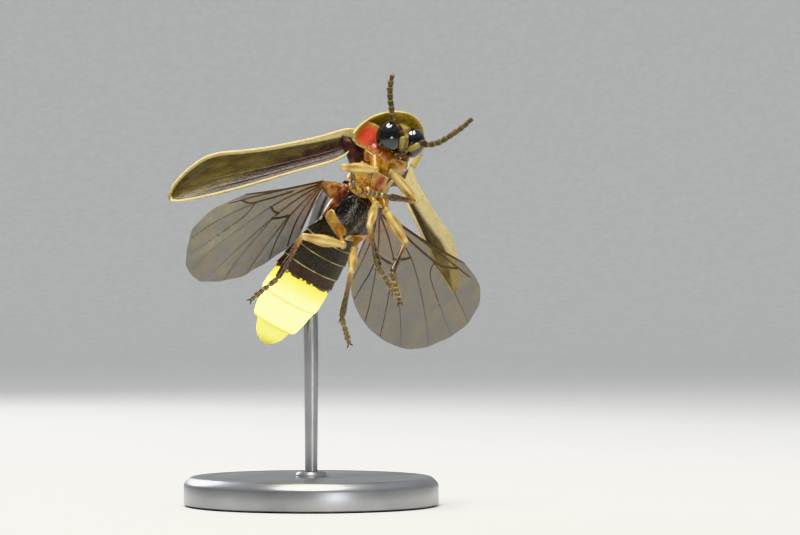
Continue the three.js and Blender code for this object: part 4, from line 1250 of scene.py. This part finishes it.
# %% Finish of the wing cases
CASE = make_finish("wing case cuticle", {
    "Roughness": 0.46, "Coat Weight": 0.08, "Subsurface Weight": 0.15,
    "Subsurface Scale": 0.00015,
}, {
    "streaks": ("Mapping", {"Vector": "place", "Scale": (1.2, 3.5, 3.5)}),
    "cloud": ("TexNoise", {"Vector": "streaks", "Scale": 1.0, "Detail": 7.0, "Roughness": 0.65}),
    # Olive and chestnut below are the case's own colours, painted darker as painted shade on the
    # underside
    "olive": ("ValToRGB", {0: "cloud", "stops": {0.3: "3a300f", 0.5: "5c4e22", 0.7: "7c6d38"}}),
    "nut": ("ValToRGB", {0: "cloud", "stops": {0.3: "170705", 0.55: "32140c", 0.75: "4c2818"}}),
    # The soft line from the front edge near the root to the hind edge near the tip
    "slant": ("Math MULTIPLY_ADD", {0: "x", 1: 0.115, 2: "y"}),
    "wavy": ("Math MULTIPLY_ADD", {0: "cloud", 1: 0.5, 2: "slant"}),
    "is inner": ("MapRange", {0: "wavy", "from": (0.98, 0.8)}),
    "under": ("Mix RGBA", {0: "is inner", 6: "olive", 7: "nut"}),
    "above": ("ValToRGB", {0: "cloud", "stops": {0.3: "17100b", 0.75: "33261a"}}),
    "is top": ("MapRange", {0: "tone", "from": (0.47, 0.53)}),
    "sides": ("Mix RGBA", {0: "is top", 6: "under", 7: "above"}),
    # Cream rim and front band: the case's pale margin, widened on the left case as painted light
    # through it
    "is rim": ("ValToRGB", {0: "tone", "stops": {0.1: 0, 0.2: 1, 0.75: 1, 0.86: 0}}),
    "Base Color": ("Mix RGBA", {0: "is rim", 6: "sides", 7: "e6d79a"}),
    "grain": ("TexNoise", {"Scale": 8.0, "Detail": 3.0}),
    "height": ("Math ADD", {0: "grain", 1: "cloud"}),
    "Normal": ("Bump", {"Height": "height", "Distance": 0.03 * MM, "Strength": 0.6}),
})
# The left case's wider pale band is painted light, where light shines through it; the pale margin
# itself is real
for name, pale in (("elytron_right", 0.3), ("elytron_left", 1.1)):
    build(name, wing_case(pale), CASE, "wing_case", move=wing_place(name), sharp=70)

# %% [markdown]
# ## The flying wings
#
# The hind wings do the flying. Each is a smoky film a few thousandths of a millimetre thick,
# stretched between veins that fan out from the root and fork towards the margin. It is made of
# rays: one share runs from the root to the margin, the other from the front ray to the hind
# ray. The film is partly clear, and the veins are raised and darker.

# %% Shape of a flying wing
# The reach of the rays in mm at their angles in degrees, from the front to the hind one
REACH = [
    (-27, 6.4), (-24, 7.7), (-18, 8.9), (-12, 9.4), (-4, 9.6), (7, 9.5), (16, 8.9), (25, 7.75),
    (33, 6.5), (40, 5.2), (46, 3.9)]
# Each vein: places in mm in the wing's frame, then its half width at the root and at the end
VEINS = [
    ([(0.3, 0.2), (2.0, 0.95), (4.0, 1.86), (5.4, 2.45), (6.4, 2.85)], 0.066, 0.0396),
    ([(4.3, 1.4), (5.0, 1.75), (5.5, 2.4)], 0.06, 0.06),
    ([(4.3, 1.4), (5.6, 1.62), (7.2, 1.72), (8.9, 1.65)], 0.0363, 0.028),
    ([(2.2, 0.7), (3.2, 1.0), (4.3, 1.4)], 0.06, 0.06),
    ([(0.4, 0.1), (2.0, 0.36), (3.8, 0.42), (5.6, 0.12), (7.4, -0.32), (9.1, -0.9)], 0.0528, 0.028),
    ([(4.6, 1.45), (5.2, 0.95), (6.6, 0.72), (9.3, 0.45)], 0.036, 0.028),
    ([(0.4, 0.0), (2.0, -0.18), (3.6, -0.55), (5.2, -1.08), (6.8, -1.66), (8.3, -2.3)], 0.0528, 0.028),
    ([(3.6, -0.55), (4.8, -1.4), (6.0, -2.25), (7.0, -3.05)], 0.036, 0.028),
    ([(3.2, -0.45), (3.5, 0.0), (3.6, 0.42)], 0.06, 0.06),
    ([(0.45, -0.1), (2.0, -0.85), (3.4, -1.7), (4.8, -2.7), (5.6, -3.4)], 0.0462, 0.028),
    ([(2.5, -1.12), (3.3, -2.1), (4.1, -3.4)], 0.036, 0.028),
    ([(2.5, -1.12), (3.0, -0.9), (3.6, -0.55)], 0.06, 0.06),
    ([(0.4, -0.2), (1.4, -1.0), (2.2, -1.9), (2.95, -3.0)], 0.0363, 0.028),
    ([(0.3, -0.25), (0.9, -0.95), (1.5, -1.7), (2.0, -2.3)], 0.036, 0.028),
]


def vein_height(x, y):
    """The greatest of exp(-(distance / half width) squared) over all the veins' points."""
    best = np.zeros(x.shape)
    share = np.linspace(0, 1, 90)
    for points, start, stop in VEINS:
        line = smooth(share * (len(points) - 1), np.arange(len(points)), points)
        half = start + (stop - start) * share
        apart = np.hypot(x[..., None] - line[:, 0], y[..., None] - line[:, 1]) / half
        high = bell(apart.min(-1), 1) * (0.4 + 0.6 * (half[apart.argmin(-1)] / 0.1))
        best = np.maximum(best, high)
    return best


def flying_wing(rows=350, columns=138):
    """Rays at angles from -27 to 46 degrees, each from 0.6 mm out to the reach at its angle.

    The film's half thickness is 0.014 mm, and a vein adds up to 0.06 mm. Shallow pleats
    run out between the veins, as in a leaf that was folded, and the margin ripples a little."""
    across = np.linspace(0, 1, rows)[:, None]
    share = np.linspace(0, 1, columns)[None, :]
    angle = -27 + 73 * across
    reach = smooth(angle, *np.array(REACH, float).T)
    turn = np.radians(-angle - 8 * (1 - share) * (1 - 2 * across))
    along = 0.6 + (reach - 0.6) * share
    x, y = np.cos(turn) * along - 0.4, np.sin(turn) * along
    front_edge = bell(np.radians(angle + 27) * along, 0.055) * (1 - 0.5 * share)
    vein = np.maximum(vein_height(x, y), front_edge)
    arch = 0.25 * (1 - (2 * across - 1) ** 2) * share - 0.3 * share**2
    pleat = 0.07 * np.sin(np.radians(angle * 21 + 40)) * share * (1 - 0.2 * share)
    ripple = 0.03 * np.sin(np.radians(angle * 47)) * share**6
    rim = np.sin(np.pi * np.clip(across, 0.004, 0.996)) ** 0.2
    rim = rim * np.clip((1 - share) * 40 + 0.2, 0, 1) * np.clip(share * 40 + 0.2, 0, 1)
    half = (0.014 + 0.06 * vein) * rim
    top, bottom = (
        np.stack([x, y, arch + pleat + ripple + side * half], -1) for side in (1, -1))
    return leaf(top, bottom, vein, vein)


# %% Finish of the flying wings
FILM = make_finish("wing film", {"Roughness": 0.35, "IOR": 1.5}, {
    "cloud": ("TexNoise", {"Scale": 1.1, "Detail": 6.0, "Roughness": 0.6}),
    "smoke": ("ValToRGB", {0: "cloud", "stops": {0.35: "4a3e26", 0.5: "6e603c", 0.68: "8c7c50"}}),
    "span": ("VectorMath LENGTH", {0: "place"}),
    "is root": ("MapRange", {0: "span", "from": (3.4, 0.8)}),
    "film": ("Mix RGBA", {0: "is root", 6: "smoke", 7: "9a6a20"}),
    "is vein": ("MapRange", {0: "tone", "from": (0.14, 0.4)}),
    "Base Color": ("Mix RGBA", {0: "is vein", 6: "film", 7: "4e3c20"}),
    "clear": ("MapRange", {0: "cloud", "from": (0.3, 0.7), "to": (0.36, 0.52)}),
    "Alpha": ("Math MAXIMUM", {0: "clear", 1: "is vein"}),
    "grain": ("TexVoronoi", {"Scale": 12.0}),
    "Normal": ("Bump", {"Height": "grain", "Distance": 0.006 * MM}),
})
for name in ("hind_wing_right", "hind_wing_left"):
    build(name, flying_wing(), FILM, "wing_membrane", move=wing_place(name), sharp=80)

# %% [markdown]
# ## Wing roots
#
# A wing is joined to the thorax by a soft, folded skin with small hard plates in it. From
# outside it is a short wrinkled neck. Each neck here is a tube from the flank of the thorax to
# the root of its wing, flattened towards the wing, with three or four folds round it.

# %% The necks of the wings
def wing_neck(name, start, wide, tall, middle, chord, thick):
    """A bridge between two flat ovals: ring = middle + cos a x chord way + sin a x thin way.

    One oval sits in the flank, wide along the body. The other fits inside the wing's root.
    Middle and both ways slide from one to the other, and folds of 2 % ring the bridge."""
    root, _, mirror = WINGS[name]
    turn = wing_turn(name)
    end = turn @ (np.array(middle) * (1, mirror, 1)) + np.array(root)
    chord_way, thin_way = turn @ np.array([0, mirror * chord, 0]), turn @ np.array([0, 0, thick])
    share = np.linspace(0, 1, 60)[:, None, None]
    angle = circle(64)[None, :, None]
    centre = np.array(start) + (end - np.array(start)) * share
    first = np.array([wide, 0, 0]) * np.sign(chord_way[0])
    second = np.array([0, 0, tall]) * np.sign(thin_way[2])
    across = first + (chord_way - first) * share**1.5
    up = second + (thin_way - second) * share**1.5
    fold = 1 + 0.022 * np.sin(share * 26 + 1.5 * np.cos(angle))
    size = fold * rounding((share - 0.94) / 0.0605)
    return shell(centre + (across * np.cos(angle) + up * np.sin(angle)) * size, 1.0)


# %% Finish of the wing roots
NECK = make_finish("wing root skin", {"Coat Weight": 0.3}, {
    "cloud": ("TexNoise", {"Scale": 2.6, "Detail": 6.0, "Roughness": 0.65}),
    "amber": ("ValToRGB", {0: "cloud", "stops": {
        0.32: "4a1c0c", 0.46: "8a4a18", 0.58: "b07a2c", 0.72: "d8b462"}}),
    # The skin at the wing cases is dark maroon, and at the flying wings clear and amber
    "maroon": ("ValToRGB", {0: "cloud", "stops": {0.34: "160709", 0.52: "38140f", 0.68: "6e3a1c"}}),
    "is behind": ("MapRange", {0: "x", "from": (-1.7, -2.4)}),
    "Base Color": ("Mix RGBA", {0: "is behind", 6: "maroon", 7: "amber"}),
    "Normal": ("Bump", {"Height": "cloud", "Distance": 0.05 * MM}),
})
for name, places, measures in (
    ("case_necks", {"elytron_right": (-1.1, -0.75, -0.15), "elytron_left": (-1.2, 0.75, -0.15)},
     (0.72, 0.55, (0.4, 0.14, 0.02), 0.6, 0.08)),
    ("wing_necks", {"hind_wing_right": (-3.2, -0.85, -0.2), "hind_wing_left": (-3.2, 0.85, -0.2)},
     (0.62, 0.5, (0.3, -0.1, 0.0), 0.34, 0.06)),
):
    necks = [wing_neck(wing, start, *measures) for wing, start in places.items()]
    build(name, necks, NECK, "dark_cuticle", replaces=False)

# %% [markdown]
# ## The coat of fine hair
#
# A firefly looks satiny because short hairs lie all over its cuticle, 0.1 to 0.2 mm long and
# about a hundredth of a millimetre thick. They stand in the dents of the skin and lean towards
# the tail, or towards the tip of a leg or a wing. Hair systems don't leave the program, so each
# hair is a real spike: a ring of three points at the root, one half way and a point at the tip.
# Places are drawn by chance from a fixed seed, with more where the area is greater.
#
# A second map, OFBake, gives each hair a patch 0.003 wide at the place of its root on the
# unrolled skin, so that a baked coat takes the colour of the skin below each hair.

# %% Spikes on a skin
HAIR_POINTS = 7
# The patch of one hair on the map: three corners for each ring of three points, then the tip
BAKE_PATCH = np.array([[0, 0], [0.003, 0], [0.0015, 0.003]] * 2 + [[0.0015, 0.001]])
CELL_FILL = 0.97


def hairs(form, count, length, root, keep=None, lean=0.75, curl=0.5, sway=0.3, flow=None, seed=1):
    """Bent three-sided spikes, with the map place of each root.

    A quad gets roots in proportion to its area x keep(centre, tone). The first half of a hair
    runs along normal x (1 - lean) + way x lean, where the way is the quad's row direction or
    the flow along the skin, swung aside by chance. The second half bends on by the curl."""
    draw = np.random.default_rng(seed)
    corner = form["points"][form["quads"]]
    centre, map_at = corner.mean(1), form["quad_uv"]
    facing = np.cross(corner[:, 2] - corner[:, 0], corner[:, 3] - corner[:, 1])
    area = np.linalg.norm(facing, axis=1) + 1e-12
    tone = form["tone"][form["quads"]].mean(1)
    weight = area * (1.0 if keep is None else np.clip(keep(centre, tone), 0, None))
    pick = draw.choice(len(area), count, p=weight / weight.sum())
    a, b = draw.random((2, count, 1))
    blend = np.stack([(1 - a) * (1 - b), a * (1 - b), a * b, (1 - a) * b], axis=1)
    start, root_map = (corner[pick] * blend).sum(1), (map_at[pick] * blend).sum(1)
    up = facing[pick] / area[pick, None]
    if flow is None:
        rows = map_at[pick][:, :, 1:]
        way = (corner[pick] * (rows - rows.mean(1, keepdims=True))).sum(1)
    else:
        way = np.broadcast_to(np.asarray(flow, float), up.shape)
    way = unit(way - up * (way * up).sum(1, keepdims=True))
    swing = draw.normal(0, sway, (count, 1))
    way = way * np.cos(swing) + np.cross(up, way) * np.sin(swing)
    first = unit(up * (1 - lean) + way * lean)
    second = unit(first + curl * (way - 0.4 * up))
    size = length * draw.uniform(0.6, 1.3, (count, 1))
    middle = start + first * size / 2
    tip = middle + second * size / 2
    turn = circle(3)[:, None]
    across = unit(np.cross(first, up) + 1e-9)
    other = np.cross(first, across)
    ring = (across[:, None] * np.cos(turn) + other[:, None] * np.sin(turn)) * root
    low, high = (start - up * 0.01)[:, None] + ring, middle[:, None] + ring * 0.7
    points = np.concatenate([low, high, tip[:, None]], axis=1).reshape(-1, 3)
    base = np.arange(count)[:, None, None] * HAIR_POINTS
    k, after = np.arange(3), (np.arange(3) + 1) % 3
    quads = (base + np.stack([k, after, after + 3, k + 3], -1)).reshape(-1, 4)
    tris = (base + np.stack([k + 3, after + 3, np.full(3, 6)], -1)).reshape(-1, 3)
    rise = np.tile([0, 0, 0, 0.5, 0.5, 0.5, 1.0], count)
    return dict(points=points, quads=quads, tris=tris, roots=root_map, rise=rise)


def coat(name, finish, fields):
    """One joined mesh of hair, from fields of (piece, shell number, settings of hairs).

    Every field has a square cell of its own in the OFBake map. The tone runs from 0 at the
    root of a hair to 1 at its tip."""
    cells = int(np.ceil(np.sqrt(len(fields))))
    points, faces, bakes, rises, shift = [], [], [], [], 0
    for number, (piece_name, part, count, length, root, more) in enumerate(fields):
        forms, move, slot = FORMS[piece_name]
        hair = hairs(forms[part], count, length, root, **more)
        flip = -1 if mirrors(move) else 1
        for key in ("quads", "tris"):
            faces += (hair[key][:, ::flip] + shift).tolist()
        points.append(move(hair["points"]))
        roots = (np.array([number % cells, number // cells]) + hair["roots"] * CELL_FILL) / cells
        bakes.append((roots[:, None] + BAKE_PATCH).reshape(-1, 2))
        rises.append(hair["rise"])
        shift += len(hair["points"])
    mesh = new_mesh(name, np.concatenate(points), faces, finish)
    at = np.zeros(len(mesh.loops), dtype=np.int32)
    mesh.loops.foreach_get("vertex_index", at)
    mark_map(mesh, "OFBake", np.concatenate(bakes)[at])
    mark(mesh, "tone", np.concatenate(rises))
    piece = in_scene(name, mesh)
    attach(piece, "root")
    print(name, "hairs:", shift // HAIR_POINTS)


# %% Finishes of the hair
# Thin clear horn: darker at the root, paler at the tip, with a silky gloss
GOLD, SILVER_GLINT, BROWN, OLIVE = (
    make_finish(name + " hair", {"Roughness": 0.38}, {
        "Base Color": ("ValToRGB", {0: "tone", "stops": {0.0: root, 1.0: tip}})})
    for name, root, tip in (
        ("golden", "a88a42", "ead9a0"), ("silver", "a89c86", "f6efdc"),
        ("brown", "40301a", "94804c"), ("olive", "4c3f1a", "a8955a")))


# %% The coat, region by region
def near_rim(at, tone):
    """Only the shield's rim."""
    return np.abs(tone - 0.5) < 0.03


def near_seam_glint(at, tone):
    """Mostly the middle of the plate and a stripe on its right, where pale hair is a painted
    highlight.
    """
    return 0.1 + bell(at[:, 1], 0.16) + bell(at[:, 1] + 0.75, 0.12)


coat("shield_down", GOLD, [
    ("pronotum", 0, 4600, 0.13, 0.006, dict(seed=3, flow=(-1, 0, 0), curl=0.4, lean=0.82)),
    ("pronotum", 0, 900, 0.13, 0.006, dict(seed=4, flow=(0.3, 0, 0), lean=0.35, keep=near_rim)),
])
coat("case_down", OLIVE, [
    (name, 0, 8000, 0.12, 0.005, dict(seed=seed, flow=(1, 0, 0), lean=0.85))
    for name, seed in (("elytron_right", 11), ("elytron_left", 12))])
coat("ring_down", OLIVE, [
    ("abdomen", 0, 2600, 0.15, 0.005, dict(seed=21, lean=0.82)),
    ("lantern", 0, 1300, 0.12, 0.005, dict(seed=22, lean=0.82)),
    ("abdomen_tip", 0, 500, 0.12, 0.005, dict(seed=23, lean=0.75)),
])
coat("thorax_down", GOLD, [
    (name, part, 110 if part else 900, 0.14, 0.006, dict(seed=seed + part, flow=(-1, 0, -0.2)))
    for name, seed in (("prothorax", 31), ("mesothorax", 41), ("hip_plates", 51))
    for part in range(len(FORMS[name][0]))])
# Silver down is real hair, but its near white colour and its crowding on the seam are a painted
# highlight of the shining ridge
coat("silver_glint_down", SILVER_GLINT, [
    ("metathorax", 0, 1300, 0.14, 0.006, dict(seed=61, flow=(-1, 0, 0))),
    ("metathorax", 1, 1000, 0.17, 0.006,
     dict(seed=62, flow=(-1, 0.2, 0), sway=0.5, lean=0.7, keep=near_seam_glint)),
])
coat("leg_down", GOLD, [
    (name, part, count, 0.11, 0.007, dict(seed=71 + 9 * number + part, lean=0.62, sway=0.4))
    for number, name in enumerate(LEGS)
    for part, count in enumerate((120, 20, 330, 330, 420))])
coat("feeler_down", BROWN, [
    (name, 0, 1500, 0.09, 0.006, dict(seed=seed, lean=0.55, sway=0.5))
    for name, seed in (("antenna_right", 131), ("antenna_left", 132))])
coat("face_down", GOLD, [("head", 0, 700, 0.1, 0.006, dict(seed=141, flow=(0.2, 0, -1)))])

# %% [markdown]
# ## The stand
#
# A turned steel foot and one thin bent rod carry the model. The rod meets the body in the
# middle of the back, where it is hidden from the front. The foot is a lathe turning: its
# finish shows fine circles about its axis. The rod has the same steel finish.

# %% Turned steel
STEEL = make_finish("turned steel", {"Metallic": 1.0, "IOR": 2.5}, {
    "east": ("SeparateXYZ", {0: "object"}, "X"),
    "north": ("SeparateXYZ", {0: "object"}, "Y"),
    "flat": ("CombineXYZ", {0: "east", 1: "north"}),
    "radius": ("VectorMath LENGTH", {0: "flat"}),
    # Tool marks 0.05 mm apart
    "circles": ("Math MULTIPLY", {0: "radius", 1: 20000.0}),
    "marks": ("TexNoise", {"noise_dimensions": "1D", "W": "circles", "Scale": 1.0, "Detail": 3.0}),
    "cloud": ("TexNoise", {"Vector": "object", "Scale": 160.0, "Detail": 4.0}),
    "Base Color": ("ValToRGB", {0: "cloud", "stops": {0.3: "8f9092", 0.7: "b4b5b6"}}),
    "Roughness": ("MapRange", {0: "marks", "to": (0.24, 0.42)}),
    "Normal": ("Bump", {"Height": "marks", "Distance": 0.01 * MM}),
})


# %% Turned forms
def lathe(profile, sides):
    """Turns a line of (radius, height) about the Z axis, as a closed shell."""
    radius, height = np.array(profile, float).T[..., None]
    angle = circle(sides)
    x, y = radius * np.cos(angle), radius * np.sin(angle)
    return shell(np.stack([x, y, np.broadcast_to(height, x.shape)], axis=-1))


def still(points):
    """The world frame itself, for things that stand on the floor."""
    return np.asarray(points, float)


# %% Foot and rod
FOOT_LINE = [
    (0.02, 0.0), (6.7, 0.0), (6.85, 0.03), (6.97, 0.12), (7.0, 0.25), (7.0, 1.1), (6.97, 1.22),
    (6.9, 1.32), (6.72, 1.5), (6.62, 1.57), (6.5, 1.6), (5.6, 1.6), (5.5, 1.57), (5.42, 1.57),
    (5.32, 1.6), (3.0, 1.6), (1.0, 1.6), (0.9, 1.62), (0.85, 1.75), (0.75, 1.85), (0.6, 1.88),
    (0.3, 1.88), (0.02, 1.88)]
ROD_RADIUS = 0.35
build("stand_base", lathe(FOOT_LINE, 160), STEEL, "stand_steel", move=still, sharp=25)
meet, above = body_place([-3.6, -0.05, 0.62]), body_place([-3.6, -0.05, 3.29])
rod_line = [(0, 0, 1.7), (0, 0, 8.0), (0, 0, above[2] - 3.5), meet + (above - meet) * 0.65, meet]
rod = tube(rod_line, [(0, ROD_RADIUS), (0.9, ROD_RADIUS), (1, 0.3)], up=(0, 1, 0.1), sides=40,
           rows=90, ends=(0.001, 0.01))
build("stand_rod", rod, STEEL, "stand_steel", move=still)

# %% [markdown]
# ## The studio
#
# The model stands on a pale round sweep, as a small thing does on a photographer's table. A
# soft light above and a little behind draws the rims, and a weak one from the front fills the
# shadows. The air round it is a soft pale grey, so no side is left dark.

# %% Floor and walls
PAPER = make_finish("matt paper", {"Roughness": 0.9, "IOR": 1.45}, {
    "fibre": ("TexNoise", {"Vector": "object", "Scale": 900.0, "Detail": 3.0}),
    "Base Color": ("ValToRGB", {0: "fibre", "stops": {0.3: "e4e3e0", 0.7: "eae9e6"}}),
})
profile = [(radius, 0.0) for radius in (0.5, 20, 60, 120, 200, 280)]
profile += [
    (300 + 160 * np.sin(a), 160 - 160 * np.cos(a)) for a in np.linspace(0, np.pi / 2, 24)]
profile += [(460, 220), (460, 300), (470, 300), (470, -10), (0.5, -10)]
bowl = lathe(profile, 96)
bowl_faces = bowl["quads"].tolist() + bowl["tris"].tolist()
in_scene("sweep", new_mesh("sweep", bowl["points"], bowl_faces, PAPER))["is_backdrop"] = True

# %% [markdown]
# The picture is shown with the neutral view, which leaves paint colours as they are and only
# rolls off the brightest lights. So the lantern's yellow stays yellow while it glows.

# %% Lights
bpy.context.scene.view_settings.view_transform = "Khronos PBR Neutral"
world = bpy.data.worlds.new("studio air")
bpy.context.scene.world = world
world.use_nodes = True
air = world.node_tree.nodes["Background"]
air.inputs["Color"].default_value = srgb("e8ecf2")
air.inputs["Strength"].default_value = 0.75


def soft_light(name, way, distance, size, power, colour):
    """A round light at a distance in mm along a direction from the animal, facing it."""
    lamp = bpy.data.lights.new(name, "AREA")
    lamp.shape = "DISK"
    lamp.size = size * MM
    lamp.energy = power
    lamp.color = srgb(colour)[:3]
    made = in_scene(name, lamp)
    way = unit(np.array(way))
    made.location = ((np.array([2.0, -2.0, 16.0]) + way * distance) * MM).tolist()
    made.rotation_euler = Vector(way).to_track_quat("Z", "Y").to_euler()


soft_light("key", (-0.05, -0.25, 1.0), 120, 75, 0.2, "fffaf2")
soft_light("fill", (0.35, -0.85, -0.1), 170, 60, 0.06, "f6f8ff")
soft_light("back", (-0.5, 0.75, 0.4), 160, 60, 0.1, "ffffff")

# %% [markdown]
# ## The boxes of both models
#
# The dressed model must keep to the box of the solid one. Both boxes are printed.

# %% Finish
dressed_low, dressed_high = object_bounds()
boxes = {
    "cad": [list(cad_low), list(cad_high)],
    "visual": [list(dressed_low), list(dressed_high)],
}
print("solid box low, high in mm:", np.round(np.array(boxes["cad"]) * 1000, 2).tolist())
print("dressed box low, high in mm:", np.round(np.array(boxes["visual"]) * 1000, 2).tolist())
